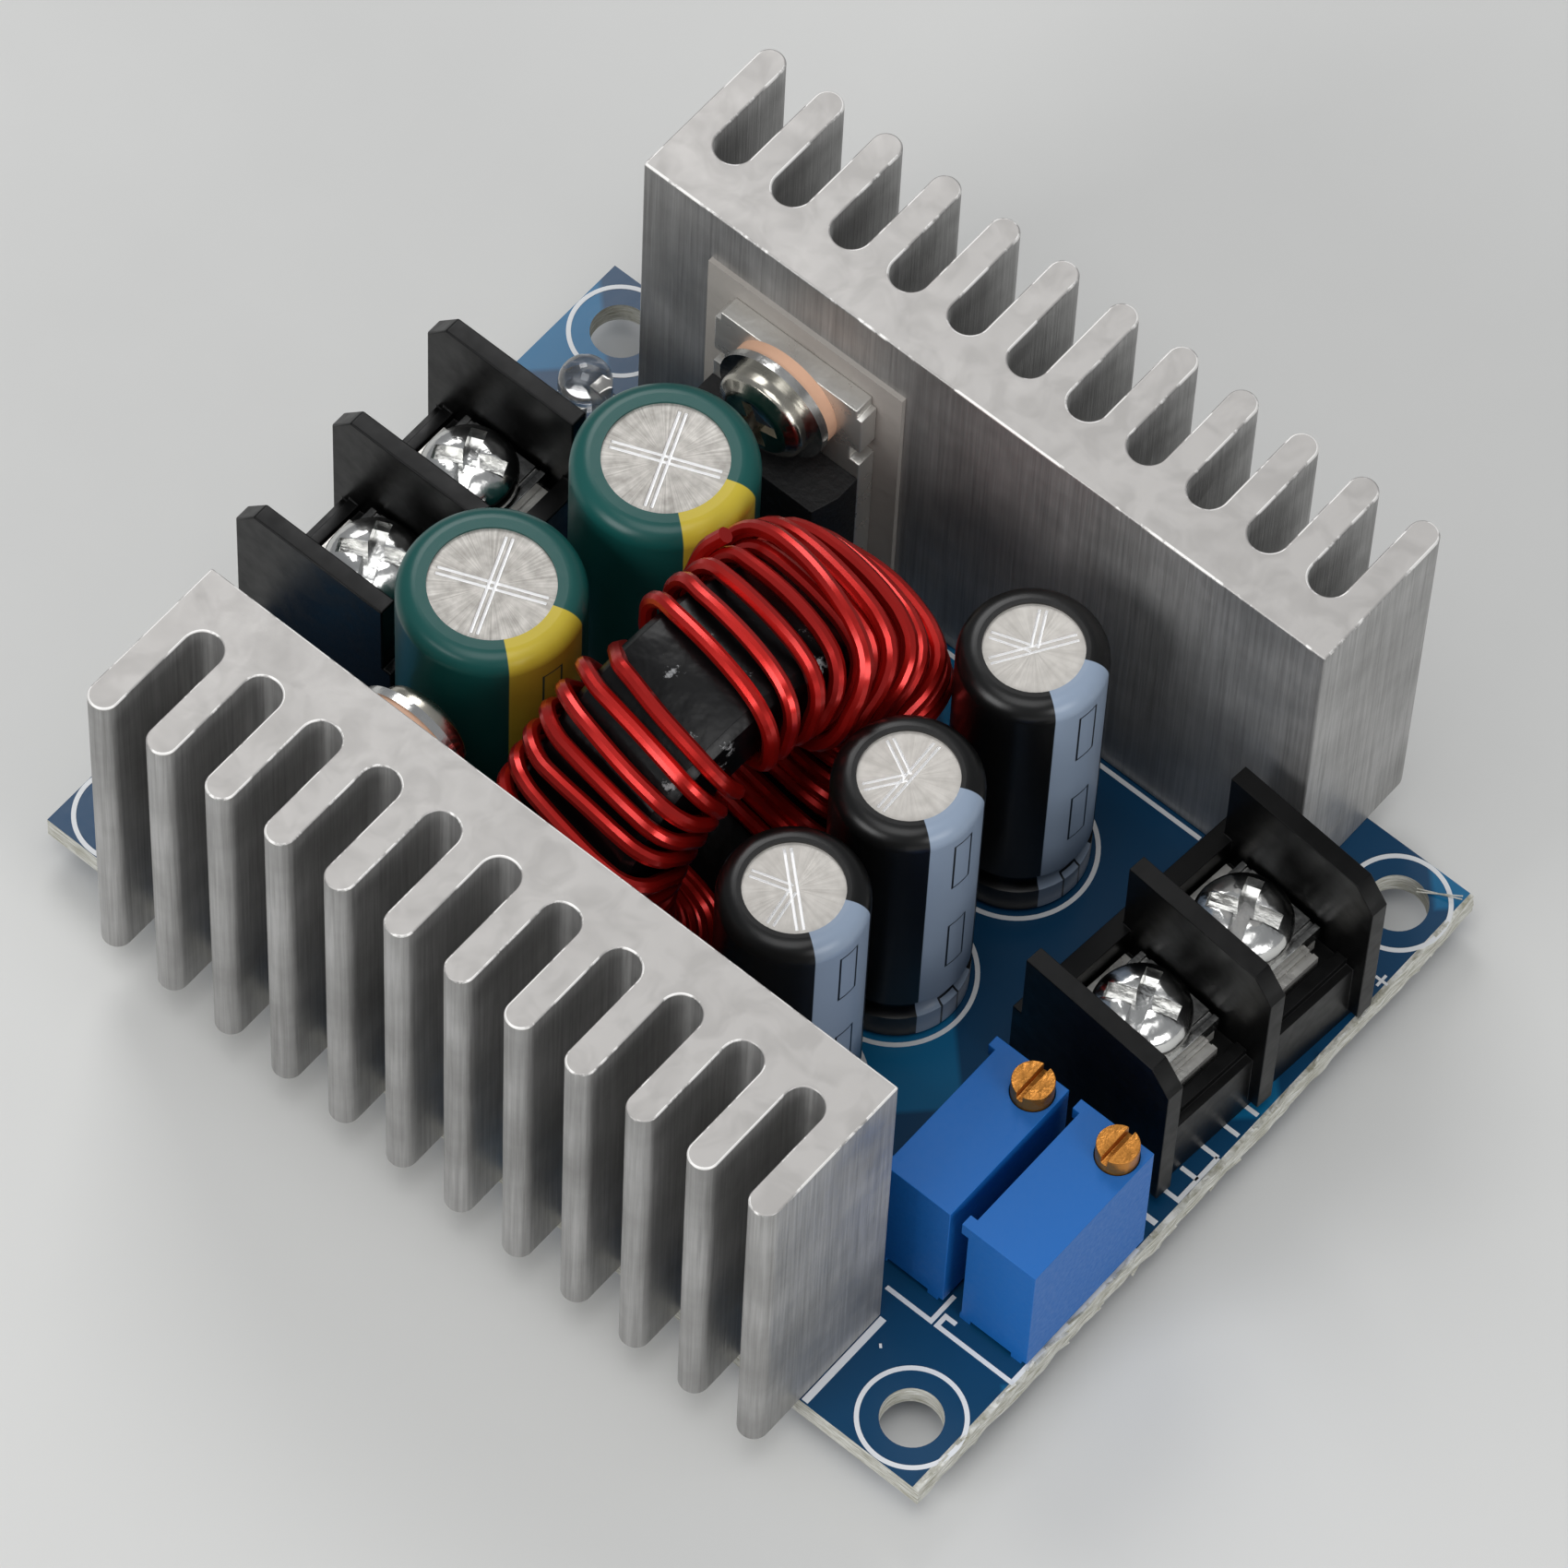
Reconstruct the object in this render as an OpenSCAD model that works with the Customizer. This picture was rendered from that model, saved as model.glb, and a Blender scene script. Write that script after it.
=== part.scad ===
// Step-down converter module: a circuit board with two comb heatsinks, a toroidal
// choke, five electrolytic capacitors, two barrier terminals and two trimmers.
// Origin: middle of the footprint, on the surface that the solder joints stand on.
// +X runs from the input terminal to the output terminal, +Y to the rear heatsink.

/* [Board] */
// Length of the board, along X
board_l = 60; // [59:0.5:64]
// Width of the board, along Y
board_w = 46; // [45.5:0.5:50]
// Thickness of the board
board_t = 1.5; // [1:0.1:2]
// Distance from the board's edges to each mounting hole's centre
hole_inset = 3; // [2.8:0.1:3.4]
// Diameter of the mounting holes
hole_d = 3.4; // [3:0.1:3.6]
// Height of the solder joints under the board
solder_h = 1.8; // [1.6:0.1:2.5]

/* [Heatsinks] */
// Length of each heatsink, along X
sink_l = 45.5; // [44:0.5:46]
// Height of each heatsink above the board
sink_h = 25; // [24:0.5:30]
// Depth from the mounting face to the fin tips
sink_depth = 10; // [8:0.5:14]
// Thickness of the heatsink's back wall
sink_base = 2.85; // [2.4:0.05:4]
// Thickness of one fin
fin_t = 1.76; // [1.4:0.02:2.1]
// Number of fins
fin_count = 12; // [8:1:12]
// Distance between the two mounting faces
sink_gap = 33; // [33:0.5:35]
// Shift of the front heatsink from the board's middle
front_sink_x = -0.75; // [-1:0.05:1]
// Shift of the rear heatsink from the board's middle
rear_sink_x = -0.15; // [-1:0.05:1]

/* [Transistors] */
// Place of the front transistor along X
front_transistor_x = -12.4; // [-12.8:0.1:-12.2]
// Place of the rear transistor along X
rear_transistor_x = -11.5; // [-12.5:0.1:-11]
// Width of the transistor's case
to_w = 10; // [9.7:0.1:10.1]
// Thickness of the metal tab
to_tab_t = 1.27; // [1.1:0.01:1.4]
// Height of the screw hole above the board
to_screw_z = 16.6; // [16:0.1:18]
// Thickness of the insulating pad
pad_t = 0.3; // [0.2:0.05:0.5]
// Width of the insulating pad
pad_w = 13.2; // [12:0.1:14]
// Height of the insulating pad
pad_h = 18.2; // [17:0.1:19]

/* [Choke] */
// Outer diameter of the core
core_d = 22.9; // [22:0.1:23.2]
// Diameter of the core's hole
core_hole_d = 14; // [13.6:0.1:14.4]
// Thickness of the core, along its axis
core_t = 7.9; // [7:0.1:8.2]
// Diameter of the enamelled wire
wire_d = 0.8; // [0.6:0.05:0.85]
// Turns in the rear group of the winding
rear_turns = 19; // [12:1:19]
// Turns in the front group of the winding
front_turns = 16; // [10:1:16]
// Clear distance from the second input capacitor to the winding
choke_gap = 0.82; // [0.7:0.02:1.2]
// Angle at which the choke stands to the board's Y axis
choke_turn = -6; // [-7:1:-4]

/* [Capacitors] */
// Diameter of the input capacitors
in_cap_d = 10; // [9.6:0.1:10.2]
// Height of the input capacitors
in_cap_h = 21; // [16:0.5:22]
// Diameter of the output capacitors
out_cap_d = 8; // [7.6:0.1:8.3]
// Height of the output capacitors
out_cap_h = 20.5; // [16:0.5:22]
// Thickness of the shrunk sleeve
sleeve_t = 0.15; // [0.1:0.01:0.25]
// Clear distance from the winding to the output capacitors
out_cap_gap = 2; // [1.8:0.1:2.4]

/* [Terminals] */
// Spacing of the poles
pole_pitch = 7.62; // [7.5:0.01:7.8]
// Depth of the terminal, along X
term_depth = 10.8; // [10.6:0.1:11]
// Height of the barriers above the board
barrier_h = 13.3; // [12:0.1:14]
// Thickness of a barrier
barrier_t = 1.1; // [0.9:0.05:1.3]
// Height of the floor that carries the contacts
term_floor = 5.2; // [5:0.1:6]
// Place of the input terminal's middle along Y
in_term_y = 0.4; // [0:0.1:0.8]
// Place of the output terminal's middle along Y
out_term_y = 5.8; // [5.6:0.1:6.2]
// Angle at which the output terminal was soldered, off the board's edge
out_term_turn = -4.5; // [-5:0.5:0]
// Diameter of the clamping screws' thread
clamp_screw_d = 3; // [2.9:0.05:3.1]
// Diameter of the clamping screws' heads
clamp_head_d = 5.4; // [5:0.1:5.6]
// Height of the clamping screws' heads
clamp_head_h = 2.2; // [1.8:0.1:2.6]
// Radial running clearance of the screws in their bores
screw_play = 0.05; // [0.03:0.01:0.08]

/* [Trimmers] */
// Width of a trimmer, along X
trim_w = 4.83; // [4.6:0.01:5]
// Length of a trimmer, along Y
trim_l = 9.53; // [9:0.01:9.8]
// Height of a trimmer above the board
trim_h = 10.03; // [9.5:0.01:11]
// Diameter of the brass adjusting screw
adjust_d = 2.3; // [2:0.05:2.4]
// Clear distance between the two trimmers
trim_gap = 0.77; // [0.5:0.01:1]

/* [Indicator] */
// Diameter of the indicator's lens
led_d = 3; // [2.9:0.1:3.1]
// Height of the lens above its flange's foot
led_h = 5.3; // [4.6:0.1:6]

/* [Hidden] */

$fn = 48;
seat = 0.02;                       // air left between pieces that only lie together
board_z = solder_h;                // underside of the board
top_z = board_z + board_t;         // upper side, on which the parts stand
lead_play = 0.1;                   // radial room of a lead in its hole
lead_end = 0.5;                    // how far a lead stops above the joint's tip

// ---- heatsinks ----
face_y = sink_gap / 2;             // mounting faces, at plus and minus this
fin_pitch = (sink_l - fin_t) / (fin_count - 1);
slot_w = fin_pitch - fin_t;

// ---- transistors ----
to_case_h = 9.2;                   // height of the moulded case
to_case_t = 3.2;                   // thickness in front of the tab
to_hole_d = 3.8;                   // hole in the tab
to_hole_drop = 2.8;                // from the tab's top edge to the hole
to_gap = 6.3;                      // from the tab's top edge to the case
tab_notch = 0.7;                   // depth of the notches in the tab's sides
tab_notch_h = 1.2;
tab_notch_drop = 5;                // from the tab's top edge to the notches' foot
to_leg_w = 0.8;
to_leg_t = 0.5;
to_leg_pitch = 2.54;
tab_top = to_screw_z + to_hole_drop;
case_top = tab_top - to_gap;
case_low = case_top - to_case_h;
leg_y = 2.4;                       // legs' distance from the tab's back
leg_root = 1;                      // how far the legs reach into the case
leg_shoulder = 1.2;                // wider part of the legs below the case
case_edge = 0.5;
pad_top = to_screw_z + 4.3;
tab_screw_d = 3;
tab_head_d = 5.6;
tab_head_h = 1.9;
bush_flange_d = 6.8;
bush_flange_t = 0.8;
washer_d = 7;
washer_t = 0.5;
tab_face = pad_t + to_tab_t;
bush_face = tab_face + bush_flange_t;
washer_face = bush_face + washer_t;
tap_depth = sink_base - 0.5;

// ---- choke ----
choke_wall_gap = 0.3;              // from the front heatsink's face to the winding
wire_lay = 0.03;                   // air between the core's coating and the wire
wire_out = core_d / 2 + wire_d / 2 + wire_lay;
wire_in = core_hole_d / 2 - wire_d / 2 - wire_lay;
wire_side = core_t / 2 + wire_d / 2 + wire_lay;
choke_stand = 0.5;                 // air under the lowest turns
choke_rim = wire_out + wire_d / 2;
choke_reach = wire_side + wire_d / 2;
choke_z = top_z + choke_stand + wire_out + wire_d / 2;
core_edge = 0.5;                   // chamfer of the core's edges
wire_bend = 0.9;                   // bend radius of the wire at the core's edges
wire_sides = 6;
gap_half = 8;                      // half of the bare arc at the top, degrees
rear_start = -76;                  // angle at which the rear group starts
front_end = 244;                   // angle at which the front group ends
rim_part = 0.6;                    // share of a turn's advance made over the rim
face_part = 0.15;                  // share made down a face

// ---- capacitors ----
in_back = term_depth - board_l / 2;
in_cap_gaps = [0.6, 2.4];          // from the input terminal's back
in_cap_space = 1.6;                // between the rows of the two
front_cap_y = 10.3;                // from the front heatsink's face
in_caps = [for (i = [0, 1]) [in_back + in_cap_gaps[i] + in_cap_d / 2,
  front_cap_y - face_y + i * (in_cap_d + in_cap_space)]];
choke_x = in_caps[1][0] + in_cap_d / 2 + choke_gap + choke_reach;
choke_y = choke_wall_gap - face_y + choke_rim * cos(choke_turn)
  + choke_reach * sin(abs(choke_turn));
out_cap_x = choke_x + choke_reach + out_cap_gap + out_cap_d / 2;
middle_cap_y = -0.6;
out_caps = [[out_cap_x, middle_cap_y + out_cap_d + 2], [out_cap_x, middle_cap_y],
  [out_cap_x - 0.2, middle_cap_y - out_cap_d - 0.8]];
cap_lead_d = 0.6;
in_lead_pitch = 5;
out_lead_pitch = 3.5;
cap_stand = 0.3;                   // air under a capacitor
bead_z = 2.6;                      // height of the crimped bead's middle
bead_r = 0.5;                      // depth of the bead
shoulder_r = 0.9;                  // rounding of the top edge
bung_t = 1.6;
can_wall = 0.3;
in_sleeve_lip = 1.45;              // width of the sleeves' turned-in edge
out_sleeve_lip = 1.15;
score_w = 0.16;
score_deep = 0.2;
score_space = 0.36;                // between the two lines of a score
// Scored lines on a top: [angle, start, end] from the middle.
cross_marks = [[23, -3, 3], [113, -3, 3]];
k_marks = [[58, -2.4, 2.4], [118, 0.1, 2.4], [200, 0.1, 2.4]];

// ---- terminals ----
poles = 2;
term_w = poles * pole_pitch + barrier_t;
screw_in = 5.8;                    // from the terminal's front to the screws' axis
bay_w = pole_pitch - barrier_t;
contact_w = bay_w - 1.1;
tongue_w = 4.2;
contact_t = 0.8;
contact_front = 2.2;               // from the front to the contact's end
contact_back = 9.4;
contact_leg_w = 1.2;
clamp_w = bay_w - 0.5;
clamp_l = 5.6;
clamp_t = 1;
clamp_play = 0.05;                 // air between clamp, contact and screw head
clamp_z = top_z + term_floor + contact_t + clamp_play;
head_z = clamp_z + clamp_t + clamp_play;
clamp_shank = 5.8;
ridge_h = 0.5;
ridge_w = 0.7;
well_d = clamp_screw_d + 0.6;
well_floor = 0.6;
face_in = 0.7;                     // front face behind the barriers' front edges
ridge_x = 1.2;                     // from the front to the ridge
back_t = 1.2;                      // back wall
back_h = 2.4;
barrier_back = 0.6;                // the barriers end short of the back
barrier_low = 0.8;                 // height of the barriers' lower edge
barrier_cut = 1.3;                 // corner cut off each barrier
contact_reach = 2.8;

// ---- trimmers ----
trim_y = -9.2;
trim_edge = 0.38;                  // from the board's edge to the trimmer
trim_right_x = board_l / 2 - trim_edge - trim_w / 2;
trim_left_x = trim_right_x - trim_w - trim_gap;
adjust_dx = 1.02;                  // the adjusting screw stands off the middle
adjust_dy = trim_l / 2 - 1.3;
adjust_up = 1.2;                   // how far it stands proud
adjust_depth = 2;                  // how deep it sits in the case
ear_in = 0.45;                     // how far the case's side stands behind its ears
ear_l = 0.7;
ear_h = 1;
trim_pin_w = 0.5;
trim_pin_pitch = 2.54;
trim_foot = 0.4;                   // standoff nubs under the case
nub = 0.7;
pin_root = 1;                      // how far the pins reach into the case

// ---- indicator ----
led_x = 5.3 - board_l / 2;
led_y = board_w / 2 - 8.7;
led_flange_d = led_d + 0.8;
led_flange_h = 1;
led_stand = 0.4;
led_lead_w = 0.5;
led_pitch = 2.54;
led_root = 0.8;                    // how far the leads reach into the lens

// ---- underside ----
chip_l = 4.9;                      // body of the eight-legged chips
chip_w = 3.9;
chip_t = 1.4;
chip_air = 0.1;                    // air between the body and the board
chip_leg_pitch = 1.27;
chip_leg_w = 0.4;
chip_leg_t = 0.2;
shunt_l = 6.3;
shunt_w = 3.2;
shunt_t = 0.7;
small_l = 2;
small_w = 1.26;
small_t = 0.6;
// Small parts: [share of the board's length, share of its width, 1 when along Y].
chip_spots = [[-0.1, 0.196, 0], [-0.1, 0.25, 0], [0.075, 0.174, 1], [-0.033, 0.004, 0], [0.075, 0.022, 1],
  [-0.017, -0.087, 0], [-0.083, -0.098, 1], [0, 0.207, 0], [0.267, -0.022, 1],
  [0.305, -0.022, 1], [0.233, -0.13, 0], [0.292, -0.13, 0], [0.383, -0.37, 0],
  [0.333, -0.413, 0], [-0.333, 0.217, 0], [-0.333, 0.272, 0], [-0.283, 0.283, 1],
  [0.25, 0.087, 1]];

function pole_y(mid, i) = mid + (i - (poles - 1) / 2) * pole_pitch;
function turned(v, a) = [v[0] * cos(a) - v[1] * sin(a), v[0] * sin(a) + v[1] * cos(a)];
function term_turn(side) = side > 0 ? out_term_turn : 0;
// A point of a terminal: d inwards from its front, y along it from its middle. A turned
// terminal stands back, so that its foremost corner is level with the board's edge.
function on_terminal(side, mid, d, y) =
  [side * (board_l / 2 - term_w / 2 * sin(abs(term_turn(side)))), mid]
  + turned([-side * d, y], term_turn(side));
function contact_leg(side, mid, i) = let (
  p = on_terminal(side, mid, contact_back - contact_t / 2, pole_y(0, i)))
  [p[0], p[1], contact_t, contact_leg_w];

// Leads that pass through the board: [x, y, width along X, width along Y].
// A lead whose second width is zero is round.
cap_leads = concat(
  [for (c = in_caps, s = [-1, 1]) [c[0] + s * in_lead_pitch / 2, c[1], cap_lead_d, 0]],
  [for (c = out_caps, s = [-1, 1]) [c[0] + s * out_lead_pitch / 2, c[1], cap_lead_d, 0]]);
transistor_leads = [for (k = [-1, 0, 1], e = [[front_transistor_x, -1], [rear_transistor_x, 1]])
  [e[0] + k * to_leg_pitch, e[1] * (face_y - pad_t - leg_y), to_leg_w, to_leg_t]];
contact_leads = [for (e = [[-1, in_term_y], [1, out_term_y]], i = [0, 1])
  contact_leg(e[0], e[1], i)];
trimmer_leads = [for (x = [trim_left_x, trim_right_x], k = [-1, 0, 1])
  [x, trim_y + k * trim_pin_pitch, trim_pin_w, trim_pin_w]];
led_leads = [for (s = [-1, 1]) [led_x, led_y + s * led_pitch / 2, led_lead_w, led_lead_w]];
choke_leads = [for (e = [[rear_start, -1], [front_end, 1]])
  let (p = on_choke(e[0], wire_out, e[1] * wire_side)) [p[0], p[1], wire_d, 0]];
leads = concat(cap_leads, transistor_leads, contact_leads, trimmer_leads, led_leads,
  choke_leads);

function lead_hole_d(l) = (l[3] == 0 ? l[2] : norm([l[2], l[3]])) + 2 * lead_play;

// A point of the choke: its angle about the axis, radius and place along the axis,
// turned and moved to where the choke stands.
function on_choke(a, r, x) = let (y = r * cos(a))
  [choke_x + x * cos(choke_turn) - y * sin(choke_turn),
   choke_y + x * sin(choke_turn) + y * cos(choke_turn),
   choke_z + r * sin(a)];

// ---- winding: one closed tube swept along both groups of turns ----
rear_pitch = (90 - gap_half - rear_start) / (rear_turns - 1 + rim_part);
front_pitch = (front_end - 90 - gap_half) / front_turns;
turns = rear_turns + front_turns;

// Angle at which turn k starts to cross the rim.
function turn_start(k) = k < rear_turns
  ? rear_start + k * rear_pitch
  : 90 + gap_half + (k - rear_turns) * front_pitch;
// Share of the way from turn k to the next that is covered at each bend.
function turn_angle(k, share) = let (
  gone = (k == rear_turns - 1 && share > rim_part + face_part)
    ? turn_start(k) + (turn_start(k + 1) - turn_start(k) - rear_pitch) + share * rear_pitch
    : turn_start(k) + share * (k < rear_turns ? rear_pitch : front_pitch)) gone;
function bend(cr, cx, sr, sx, angles) = [for (a = angles)
  [cr + sr * wire_bend * sin(a), cx + sx * wire_bend * cos(a), sr * sin(a), sx * cos(a)]];
rim_in = bend(wire_out - wire_bend, wire_bend - wire_side, 1, -1, [0, 45, 90]);
rim_out = bend(wire_out - wire_bend, wire_side - wire_bend, 1, 1, [90, 45, 0]);
hole_in = bend(wire_in + wire_bend, wire_side - wire_bend, -1, 1, [0, 45, 90]);
hole_out = bend(wire_in + wire_bend, wire_bend - wire_side, -1, -1, [90, 45, 0]);
// One turn: the four bends, each with the share of the advance made before it.
function with_share(list, share) = [for (p = list) [p[0], p[1], p[2], p[3], share]];
turn_path = concat(with_share(rim_in, 0), with_share(rim_out, rim_part),
  with_share(hole_in, rim_part + face_part), with_share(hole_out, 1 - face_part));
// The first turn comes up from the board, and the last goes down to it.
first_path = [for (i = [1:len(turn_path) - 1]) if (i > 1) turn_path[i]];
final_path = concat(with_share(rim_in, 0), [with_share(rim_out, 0)[0]]);

// Point and outward normal of a bend of turn k.
function wire_point(k, p) = let (
  a = turn_angle(k, p[4]),
  n = on_choke(a, p[0] + p[2], p[1] + p[3]),
  c = on_choke(a, p[0], p[1])) [c, n - c];
wire_start = wire_point(0, [wire_out, -wire_side, 0, -1, 0]);
wire_stop = wire_point(turns, [wire_out, wire_side, 0, 1, 0]);
wire_points = concat(
  [[[wire_start[0][0], wire_start[0][1], lead_end], wire_start[1]],
   [[wire_start[0][0], wire_start[0][1], top_z + 0.1], wire_start[1]]],
  [for (k = [0:turns - 1], p = k == 0 ? first_path : turn_path) wire_point(k, p)],
  [for (p = final_path) wire_point(turns, p)],
  [[[wire_stop[0][0], wire_stop[0][1], top_z + 0.1], wire_stop[1]],
   [[wire_stop[0][0], wire_stop[0][1], lead_end], wire_stop[1]]]);

function cross3(a, b) = [a[1] * b[2] - a[2] * b[1], a[2] * b[0] - a[0] * b[2],
  a[0] * b[1] - a[1] * b[0]];
function unit(v) = v / norm(v);
// Ring of points about point i of the wire, square to the wire's direction.
function wire_ring(i) = let (
  c = wire_points[i][0],
  t = unit(wire_points[min(i + 1, len(wire_points) - 1)][0] - wire_points[max(i - 1, 0)][0]),
  n = unit(wire_points[i][1] - (wire_points[i][1] * t) * t),
  b = cross3(t, n))
  [for (j = [0:wire_sides - 1]) c + wire_d / 2 * (cos(j * 360 / wire_sides) * n
    + sin(j * 360 / wire_sides) * b)];

module choke_winding() {
  count = len(wire_points);
  rings = [for (i = [0:count - 1], p = wire_ring(i)) p];
  ends = [[for (j = [0:wire_sides - 1]) j],
    [for (j = [0:wire_sides - 1]) count * wire_sides - 1 - j]];
  sides = [for (i = [0:count - 2], j = [0:wire_sides - 1], h = [0, 1])
    let (a = i * wire_sides + j, b = i * wire_sides + (j + 1) % wire_sides)
    h == 0 ? [a, a + wire_sides, b] : [b, a + wire_sides, b + wire_sides]];
  color("#b01c1c")
  polyhedron(points = rings, faces = concat(ends, sides));
}

module choke_core() {
  r0 = core_hole_d / 2;
  r1 = core_d / 2;
  h = core_t / 2;
  e = core_edge;
  color("#161616")
  translate([choke_x, choke_y, choke_z])
  rotate([0, 0, choke_turn])
  rotate([0, 90, 0])
  rotate_extrude($fn = 96)
  polygon([[r0 + e, -h], [r1 - e, -h], [r1, e - h], [r1, h - e], [r1 - e, h],
    [r0 + e, h], [r0, h - e], [r0, e - h]]);
}

// ---- board ----
module circuit_board() {
  color("#14507e")
  difference() {
    translate([-board_l / 2, -board_w / 2, board_z]) cube([board_l, board_w, board_t]);
    for (x = [-1, 1], y = [-1, 1])
      translate([x * (board_l / 2 - hole_inset), y * (board_w / 2 - hole_inset), board_z - 1])
      cylinder(d = hole_d, h = board_t + 2);
    for (l = leads)
      translate([l[0], l[1], board_z - 1])
      cylinder(d = lead_hole_d(l), h = board_t + 2, $fn = 24);
  }
}

module solder_joints() {
  color("#c9ccce")
  for (l = leads) {
    r = lead_hole_d(l) / 2;
    translate([l[0], l[1], 0])
    rotate_extrude($fn = 24)
    difference() {
      polygon([[0, 0], [r + 0.1, 0], [r + 0.3, solder_h * 0.55], [r + 0.65, solder_h],
        [0, solder_h]]);
      translate([-1, lead_end - seat]) square([1 + r, solder_h]);
    }
  }
}

// A lead of the list, from inside its joint up to a given height.
module lead(l, top) {
  if (l[3] == 0)
    translate([l[0], l[1], lead_end]) cylinder(d = l[2], h = top - lead_end, $fn = 24);
  else
    translate([l[0] - l[2] / 2, l[1] - l[3] / 2, lead_end]) cube([l[2], l[3], top - lead_end]);
}

// ---- heatsinks: a comb with round slot ends and round fin tips ----
module heatsink(side, middle, transistor) {
  low = -sink_l / 2;
  tip = fin_t / 2;
  color("#b9b9b7")
  translate([middle, side * face_y, top_z])
  mirror([0, side < 0 ? 1 : 0, 0])
  difference() {
    union() {
      translate([low, 0, 0]) cube([sink_l, sink_depth - tip, sink_h]);
      for (i = [0:fin_count - 1])
        translate([low + tip + i * fin_pitch, sink_depth - tip, 0])
        cylinder(r = tip, h = sink_h, $fn = 32);
    }
    for (i = [0:fin_count - 2])
      translate([low + fin_t + i * fin_pitch, sink_base + slot_w / 2, -1]) {
        cube([slot_w, sink_depth, sink_h + 2]);
        translate([slot_w / 2, 0, 0]) cylinder(d = slot_w, h = sink_h + 2, $fn = 32);
      }
    translate([transistor - middle, 0, to_screw_z]) rotate([90, 0, 0])
    translate([0, 0, -tap_depth]) cylinder(d = tab_screw_d + 2 * seat, h = tap_depth + 1);
  }
}

module front_heatsink() { heatsink(-1, front_sink_x, front_transistor_x); }
module rear_heatsink() { heatsink(1, rear_sink_x, rear_transistor_x); }

// ---- transistors, with their insulating and fixing parts ----
// Children are drawn for the rear one: x across, -y away from the heatsink, z up.
module at_transistor(side) {
  translate([side < 0 ? front_transistor_x : rear_transistor_x, side * face_y, top_z])
  mirror([0, side < 0 ? 1 : 0, 0])
  children();
}

// A round thing on the screw's axis, from depth d0 to d1 off the heatsink's face.
module on_screw(d0, d1, dia) {
  translate([0, -d0, to_screw_z]) rotate([90, 0, 0]) cylinder(d = dia, h = d1 - d0);
}

module insulating_pad(side) {
  color("#8d8782")
  at_transistor(side)
  difference() {
    translate([-pad_w / 2, -pad_t, pad_top - pad_h]) cube([pad_w, pad_t, pad_h]);
    on_screw(-1, pad_t + 1, to_hole_d);
  }
}

module transistor_frame(side) {
  color("#b4b6b8")
  at_transistor(side) {
    difference() {
      translate([-to_w / 2, -tab_face, case_low]) cube([to_w, to_tab_t, tab_top - case_low]);
      on_screw(pad_t - 1, tab_face + 1, to_hole_d);
      for (s = [-1, 1]) {
        translate([s * to_w / 2 - tab_notch, -tab_face - 1, tab_top - tab_notch_drop])
        cube([2 * tab_notch, to_tab_t + 2, tab_notch_h]);
        translate([s * to_w / 2 - tab_notch / 2, -tab_face - 1, tab_top - tab_notch])
        cube([tab_notch, to_tab_t + 2, tab_notch + 1]);
      }
    }
    for (k = [-1, 0, 1]) translate([k * to_leg_pitch, -pad_t - leg_y, 0]) {
      translate([-to_leg_w / 2, -to_leg_t / 2, lead_end - top_z])
      cube([to_leg_w, to_leg_t, case_low + leg_root - lead_end + top_z]);
      translate([-to_leg_w * 0.8, -to_leg_t / 2, case_low - leg_shoulder])
      cube([to_leg_w * 1.6, to_leg_t, leg_shoulder + leg_root]);
    }
  }
}

module transistor_case(side) {
  w = to_w / 2;
  d = to_case_t;
  e = case_edge;
  color("#1b1b1c")
  at_transistor(side)
  difference() {
    translate([0, -tab_face, case_low])
    linear_extrude(height = to_case_h)
    polygon([[-w, 0], [-w, -d + 1.6], [-w + e, -d], [w - e, -d], [w, -d + 1.6], [w, 0]]);
    for (k = [-1, 0, 1])
      translate([k * to_leg_pitch - to_leg_w * 0.8 - seat, -pad_t - leg_y - to_leg_t / 2 - seat,
        case_low - 1])
      cube([to_leg_w * 1.6 + 2 * seat, to_leg_t + 2 * seat, leg_root + 1 + seat]);
    translate([0, -tab_face - d + 0.15, case_low + to_case_h - 1.8]) rotate([90, 0, 0])
    cylinder(d = 1.6, h = 1, $fn = 24);
  }
}

module insulating_bush(side) {
  color("#d9a98c")
  at_transistor(side)
  difference() {
    union() {
      on_screw(tab_face, bush_face, bush_flange_d);
      on_screw(pad_t, tab_face + 0.1, to_hole_d - 2 * seat);
    }
    on_screw(pad_t - 1, bush_face + 1, tab_screw_d + 2 * seat);
  }
}

module washer(side) {
  color("#c9ccce")
  at_transistor(side)
  difference() {
    on_screw(bush_face, washer_face, washer_d);
    on_screw(bush_face - 1, washer_face + 1, tab_screw_d + 2 * seat);
  }
}

module tab_screw(side) {
  color("#c4c7ca")
  at_transistor(side)
  translate([0, 0, to_screw_z])
  rotate([90, 0, 0])
  difference() {
    rotate_extrude()
    polygon([[0, 0.1 - tap_depth], [tab_screw_d / 2, 0.1 - tap_depth],
      [tab_screw_d / 2, washer_face], [tab_head_d / 2, washer_face],
      [tab_head_d / 2, washer_face + tab_head_h * 0.6],
      [tab_head_d / 2 - 0.7, washer_face + tab_head_h], [0, washer_face + tab_head_h]]);
    for (a = [0, 90]) rotate([0, 0, a + 20])
      translate([-1.6, -0.35, washer_face + tab_head_h - 1.1]) cube([3.2, 0.7, 2]);
  }
}

module front_insulating_pad() { insulating_pad(-1); }
module rear_insulating_pad() { insulating_pad(1); }
module front_transistor_frame() { transistor_frame(-1); }
module rear_transistor_frame() { transistor_frame(1); }
module front_transistor_case() { transistor_case(-1); }
module rear_transistor_case() { transistor_case(1); }
module front_insulating_bush() { insulating_bush(-1); }
module rear_insulating_bush() { insulating_bush(1); }
module front_washer() { washer(-1); }
module rear_washer() { washer(1); }
module front_tab_screw() { tab_screw(-1); }
module rear_tab_screw() { tab_screw(1); }

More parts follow.
